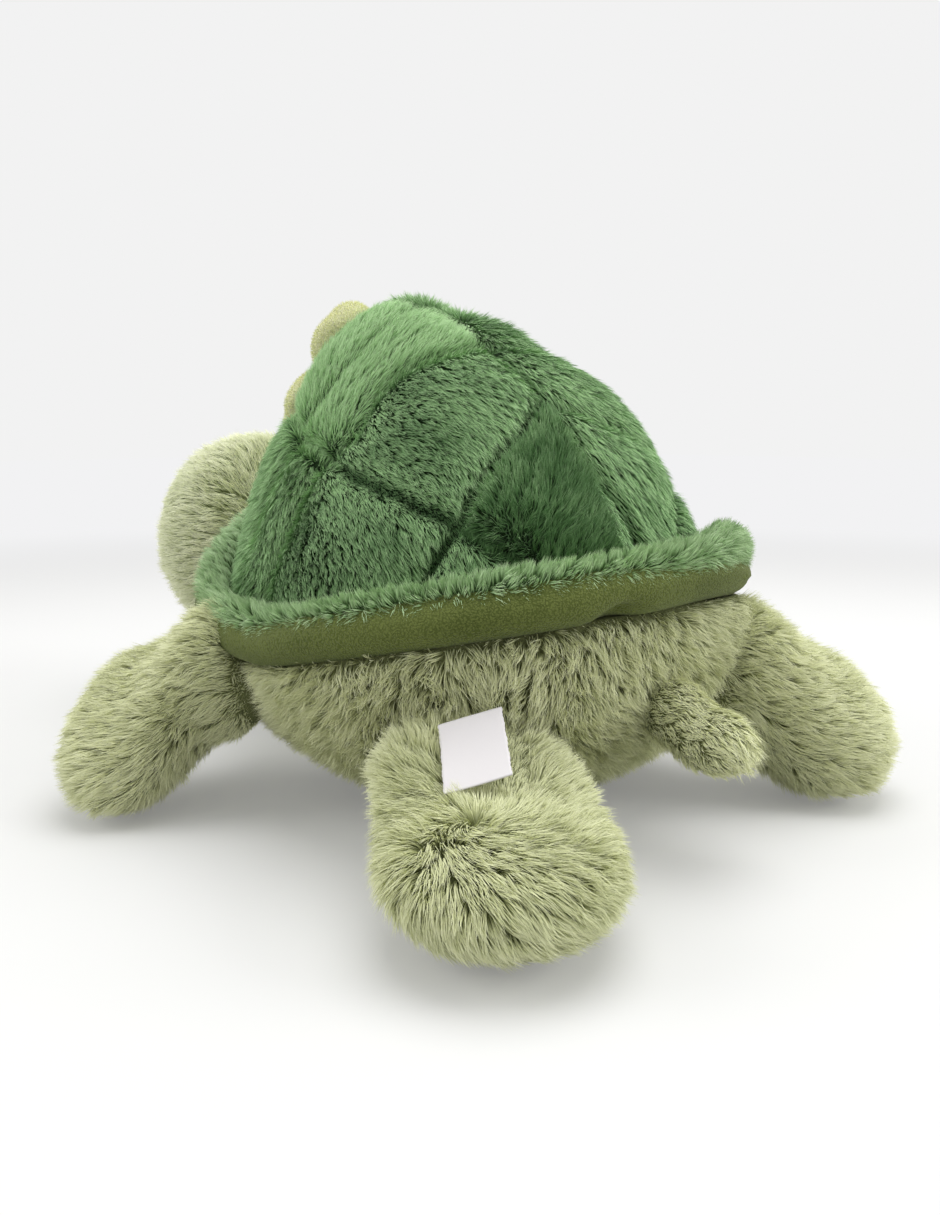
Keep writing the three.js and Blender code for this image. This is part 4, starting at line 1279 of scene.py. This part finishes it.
def fold(piece, folds):
    places, normals = placesOf(piece)
    for one in folds:
        start, end = np.array(one["from"], float), np.array(one["to"], float)
        run = end - start
        share = np.clip(((places - start) @ run) / (run @ run), 0, 1)
        distance = np.linalg.norm(places - start - share[:, None] * run, axis=1)
        places -= normals * (one["depth"] * near(distance, one["reach"]))[:, None]
    reshape(piece, places)


def makeBody():
    skin = closedForm("body_cover_skin", 80, 48, lambda turn, run: bodyPoints(turn, run, -pile))
    places, normals = placesOf(skin)
    stuff(skin, 4, (places[:, 2] < 6) | (places[:, 2] > 120))
    uneven(skin, 40, 1.2, 7)
    fold(skin, bodyFolds)
    places, normals = placesOf(skin)
    distance = np.linalg.norm(places - np.array(bodySwell["place"]), axis=1)
    swell = bodySwell["by"] * near(distance, bodySwell["reach"])
    reshape(skin, places + normals * (1, 1, 0) * swell[:, None])
    places = restOnFloor(placesOf(skin)[0])
    limit, covered = underShell(places)
    places[:, 2] = np.minimum(places[:, 2], limit + 0.5)
    reshape(skin, places)
    places, normals = placesOf(skin)
    hidden = covered & (normals[:, 2] > 0.5) & (places[:, 2] > limit - 3)
    for spec in limbs.values():
        hidden |= withinLimb(spec, places, pile + 1)
    nap = unit(places * (1, 1, 0) - 60 * upward) * 0.6
    nap += 0.2 * drift(places, 24, 17) + 0.16 * drift(places, 9, 18)
    length = ~hidden * atLeast(0.35, smooth((places[:, 2] - floorPile["from"]) / floorPile["body"]))
    dress(skin, alongSkin(nap, normals), length, 0.55 + 0.16 * drift(places, 22, 18)[:, 0], sageSkin)
    parts = {"body_fur_left": (1, lambda places: places[:, 0] > 0),
             "body_fur_right": (0.87, lambda places: places[:, 0] <= 0)}
    for at, (name, (sparse, share)) in enumerate(parts.items()):
        fur = {**longFur, "perSquareMm": longFur["perSquareMm"] * sparse, "seed": 51 + at}
        coat = growFur(skin, name, fur, sageFur, share)
        finishPiece(coat, "torso")
    finishPiece(skin, "torso", ("body_cover",))

    def fibre(turn, run):
        places = restOnFloor(bodyPoints(turn, run, -pile - 6), 8)
        places[:, 2] = np.minimum(places[:, 2], underShell(places)[0] - 5)
        return places
    fillWith("body_filling", 64, 40, fibre, "torso", "body_filling")
    makePelletBag()


bagSize = {"halfWidth": 46, "halfLength": 54, "halfHeight": 14, "height": 24}


def makePelletBag():
    def pointsAt(turn, run):
        tilt = math.pi * (run - 0.5)
        wide = np.cos(tilt) ** 0.6
        return np.stack([bagSize["halfWidth"] * wide * np.cos(2 * math.pi * turn),
                         bagSize["halfLength"] * wide * np.sin(2 * math.pi * turn),
                         bagSize["height"] + bagSize["halfHeight"] * np.sin(tilt)], axis=-1)
    bag = closedForm("pellet_bag_cloth", 72, 36, pointsAt)
    uneven(bag, 7, 0.7, 72)
    bag.data.materials.append(bagCloth)
    finishPiece(bag, "torso", ("pellet_bag",))


# Flippers, head and tail

limbLooks = {
    # share of the body's strand count, the tone, and where the stuffing stands out: to the
    # side or upwards, so far from the seam
    "front_left_flipper": {"count": 1.1, "tone": 0.6, "seed": 61, "rootRadius": 33,
                           "fuller": {"side": 0, "place": 20, "reach": 33, "by": 12}},
    "front_right_flipper": {"count": 0.6, "tone": 0.6, "seed": 62, "rootRadius": 33,
                            "fuller": {"side": 0, "place": 20, "reach": 33, "by": 12}},
    "hind_left_flipper": {"count": 1.35, "tone": 0.5, "seed": 63, "rootHalfWidth": 42,
                          "fuller": {"side": 1, "place": 34, "reach": 26, "by": 6}},
    "hind_right_flipper": {"count": 1.1, "tone": 0.6, "seed": 64, "rootRadius": 38,
                           "fuller": {"side": 0, "place": 24, "reach": 30, "by": 15}},
    "head": {"count": 0.6, "tone": 0.75, "seed": 65, "insetShare": 0.65},
    "tail": {"count": 1.3, "tone": 0.95, "seed": 66, "insetShare": 0.6},
}
whorl = {"place": (121, 128, 62), "reach": 34, "swirl": 0.9}  # on top of the near foot


def limbNap(name, spec, places, normals):
    heading = limbFrame(spec)[1]
    nap = 0.75 * heading + 0.18 * drift(places, 20, limbLooks[name]["seed"]) - 0.15 * upward
    if name == "hind_left_flipper":
        outward = places - np.array(whorl["place"])
        outward = alongSkin(outward, normals)
        distance = np.linalg.norm(outward, axis=1)[:, None]
        spun = np.cross(normals, unit(outward)) * whorl["swirl"] * near(distance, whorl["reach"])
        nap = 0.6 * unit(outward) + 0.6 * spun + 0.18 * drift(places, 18, 19)
    nap += (0.08 if name == "tail" else 0.2) * drift(places, 8, limbLooks[name]["seed"] + 1)
    return alongSkin(nap, normals)


labelSize = {"width": 25, "length": 34, "thickness": 0.5, "place": (89.4, 93.3, 70.9),
             "heading": 54, "slope": 29, "roll": -21}


def labelFrame():
    facing = level(labelSize["heading"])
    slope = math.radians(labelSize["slope"])
    run = facing * math.cos(slope) - upward * math.sin(slope)
    edge = turnedAbout(np.cross(facing, upward), run, -labelSize["roll"])
    return np.array(labelSize["place"]), edge, run, np.cross(edge, run)


def underLabel(places):
    place, edge, run, face = labelFrame()
    aside, along = (places - place) @ edge, (places - place) @ run
    near = np.maximum(np.abs(aside) - labelSize["width"] / 2, np.abs(along - labelSize["length"] / 2)
                      - labelSize["length"] / 2)
    return (near < 2) & ((places - place) @ face > -30)


def besideEyes(places):
    clear = np.ones(len(places))
    for eye in eyeFrames():
        away = places - eye["seat"]
        distance = np.linalg.norm(away, axis=1)
        behind = smooth(away[:, 1] / 8)
        clear *= smooth((distance - eyeSize["radius"] + behind) / (6 - 5 * behind))
    return clear


limbLook = {
    # where the pile starts beside the seam, and where the tail's wisps grow long and pale
    "bareRoot": 16, "rootFade": 14, "wispFrom": 24, "wispFade": 10, "wispTone": 0.45,
    "paleFrom": 22, "paleFade": 12, "underLabel": 0.4}


def makeLimb(name, spec):
    looks, look = limbLooks[name], limbLook
    isHead = name == "head"
    inset = pile * looks.get("insetShare", 1)
    around, rings = (64, 44) if isHead else (48, 36)
    full = {**spec, **{key: looks[key] for key in ("rootRadius", "rootHalfWidth") if key in looks}}
    skin = closedForm(name + "_cover_skin", around, rings,
                      lambda turn, run: limbPoints(full, turn, run, inset))
    places, normals = placesOf(skin)
    root, heading, side, top = limbFrame(spec)
    stuff(skin, 3, ((places - root) @ heading < 4) | (places[:, 2] < 5))
    uneven(skin, 26, 1.0, looks["seed"] + 100)
    places, normals = placesOf(skin)
    if "fuller" in looks:
        fuller = looks["fuller"]
        facing, toward = (side, side) if fuller["side"] else (top, upward)
        share = near((places - root) @ heading - fuller["place"], fuller["reach"])
        places += toward * (fuller["by"] * share * smooth(normals @ facing))[:, None]
    reshape(skin, restOnFloor(places))
    places, normals = placesOf(skin)
    travel = (places - root) @ heading
    length = smooth((travel + look["bareRoot"]) / look["rootFade"])
    length *= atLeast(0.4, smooth((places[:, 2] - floorPile["from"]) / floorPile["limb"]))
    if name == "hind_left_flipper":
        length *= np.where(underLabel(places), look["underLabel"], 1.0)
    if isHead:
        length *= besideEyes(places)
    if name == "tail":
        length *= atLeast(0.55, smooth((travel - look["wispFrom"]) / look["wispFade"]))
    tone = looks["tone"] + 0.15 * drift(places, 18, looks["seed"] + 50)[:, 0]
    if name == "tail":
        tone += look["wispTone"] * smooth((travel - look["paleFrom"]) / look["paleFade"])
    backing = headSkin if isHead else sageSkin
    dress(skin, limbNap(name, spec, places, normals), length, tone, backing)
    fur = {**longFur, "perSquareMm": longFur["perSquareMm"] * looks["count"], "seed": looks["seed"]}
    if name == "tail":
        fur.update(tailFur)
    finishPiece(growFur(skin, name + "_fur", fur, headFur if isHead else sageFur), name)
    finishPiece(skin, name, (name + "_cover",))
    fillWith(name + "_filling", 40, 28, lambda turn, run: restOnFloor(
        limbPoints(spec, turn, run, inset + (3 if name == "tail" else 6)), 8), name, name + "_filling")


# Eyes: glossy domes on shanks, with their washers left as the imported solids

eyeSize = {"radius": 8, "rimHeight": 3, "domeHeight": 6, "shankRadius": 2.4, "shankLength": 9.1,
           "sink": 1.5, "hem": 0.6, "domeSteps": 15, "turnShare": 0.07, "runShare": 0.76,
           "nearbyShare": 0.01}


def eyeFrames():
    frames = []
    for side, turn in (("left", eyeSize["turnShare"]), ("right", 0.5 - eyeSize["turnShare"])):
        near = eyeSize["nearbyShare"]
        turns = np.array([turn, turn + near, turn])
        runs = np.array([eyeSize["runShare"], eyeSize["runShare"], eyeSize["runShare"] + near])
        place, beside, beyond = limbPoints(limbs["head"], turns, runs, 0)
        outward = unit(np.cross(beyond - place, beside - place))
        outward *= -1 if outward[1] > 0 else 1
        seat = place - outward * (pile + eyeSize["sink"])
        frames.append({"side": side, "outward": outward, "seat": seat})
    return frames


def makeEyes():
    size = eyeSize
    profile = [(0, -size["shankLength"]), (size["shankRadius"], -size["shankLength"]),
               (size["shankRadius"], 0), (size["radius"] - size["hem"], 0),
               (size["radius"], size["hem"]), (size["radius"], size["rimHeight"])]
    for step in range(1, size["domeSteps"]):
        angle = math.pi / 2 * step / size["domeSteps"]
        profile.append((size["radius"] * math.cos(angle),
                        size["rimHeight"] + size["domeHeight"] * math.sin(angle)))
    profile.append((0, size["rimHeight"] + size["domeHeight"]))
    rings = len(profile) - 1
    radii, heights = np.array(profile).T
    for eye in eyeFrames():
        across = unit(np.cross(eye["outward"], upward))
        above = np.cross(across, eye["outward"])

        def pointsAt(turn, run):
            ring = np.round(run * rings).astype(int)
            angle = 2 * math.pi * turn
            return (eye["seat"] + (radii[ring] * np.cos(angle))[:, None] * across
                    + (radii[ring] * np.sin(angle))[:, None] * above
                    + heights[ring][:, None] * eye["outward"])
        piece = closedForm(f"{eye['side']}_eye_dome", 48, rings, pointsAt)
        piece.data.materials.append(blackPlastic)
        finishPiece(piece, "head", nodes=(f"{eye['side']}_eye",))


# Label: a satin tab whose top edge is sewn in beside the flipper's seam

def makeLabel():
    size = labelSize
    place, edge, run, face = labelFrame()
    across, along = 30, 40

    def at(u, v, high):
        lift = 1.1 * (v - 0.15) ** 2 - 0.5 * np.sin(math.pi * u) * v + 0.25 * np.sin(7 * v + 2 * u)
        ragged = 0.25 * np.sin(57 * v) * np.sin(31 * v) * np.sign(u - 0.5)
        return (place + ((u - 0.5) * size["width"] + ragged * (np.abs(u - 0.5) > 0.49))[:, None] * edge
                + (v * size["length"])[:, None] * run + (lift + high)[:, None] * face)
    v, u = (grid.ravel() for grid in np.meshgrid(np.arange(along + 1) / along,
                                                 np.arange(across + 1) / across, indexing="ij"))
    points = np.vstack([at(u, v, size["thickness"]), at(u, v, 0)])
    sheet = (across + 1) * (along + 1)

    def corner(i, j, under=0):
        return under * sheet + j * (across + 1) + i
    faces = []
    for j in range(along):
        for i in range(across):
            quad = [(i, j), (i + 1, j), (i + 1, j + 1), (i, j + 1)]
            faces.append(tuple(corner(*one) for one in quad))
            faces.append(tuple(corner(*one, 1) for one in reversed(quad)))
    rim = ([(i, 0) for i in range(across)] + [(across, j) for j in range(along)]
           + [(i, along) for i in range(across, 0, -1)] + [(0, j) for j in range(along, 0, -1)])
    for one, other in zip(rim, rim[1:] + rim[:1]):
        faces.append((corner(*one), corner(*one, 1), corner(*other, 1), corner(*other)))
    label = meshObject("sewn_label_satin", points, faces)
    onLabel = label.data.uv_layers.new(name="weave")
    corners = np.array([loop.vertex_index for loop in label.data.loops]) % sheet
    onMap = np.stack([u[corners], v[corners]], axis=-1).astype(np.float32)
    onLabel.data.foreach_set("uv", onMap.ravel())
    label.data.materials.append(whiteSatin)
    finishPiece(label, "label", nodes=("sewn_label",))


makeShell(underFlower)
makeRim()
makeBand()
print("shell")
makeFlower()
print("flower")
makeBody()
for limbName, limbSpec in limbs.items():
    makeLimb(limbName, limbSpec)
print("body, flippers, head and tail")
makeEyes()
makeLabel()
for side in ("left", "right"):
    washer = bpy.data.objects[f"{side}_eye_washer"]
    washer.data.materials.clear()
    washer.data.materials.append(washerPlastic)
print("eyes and label")

bpy.context.view_layer.update()
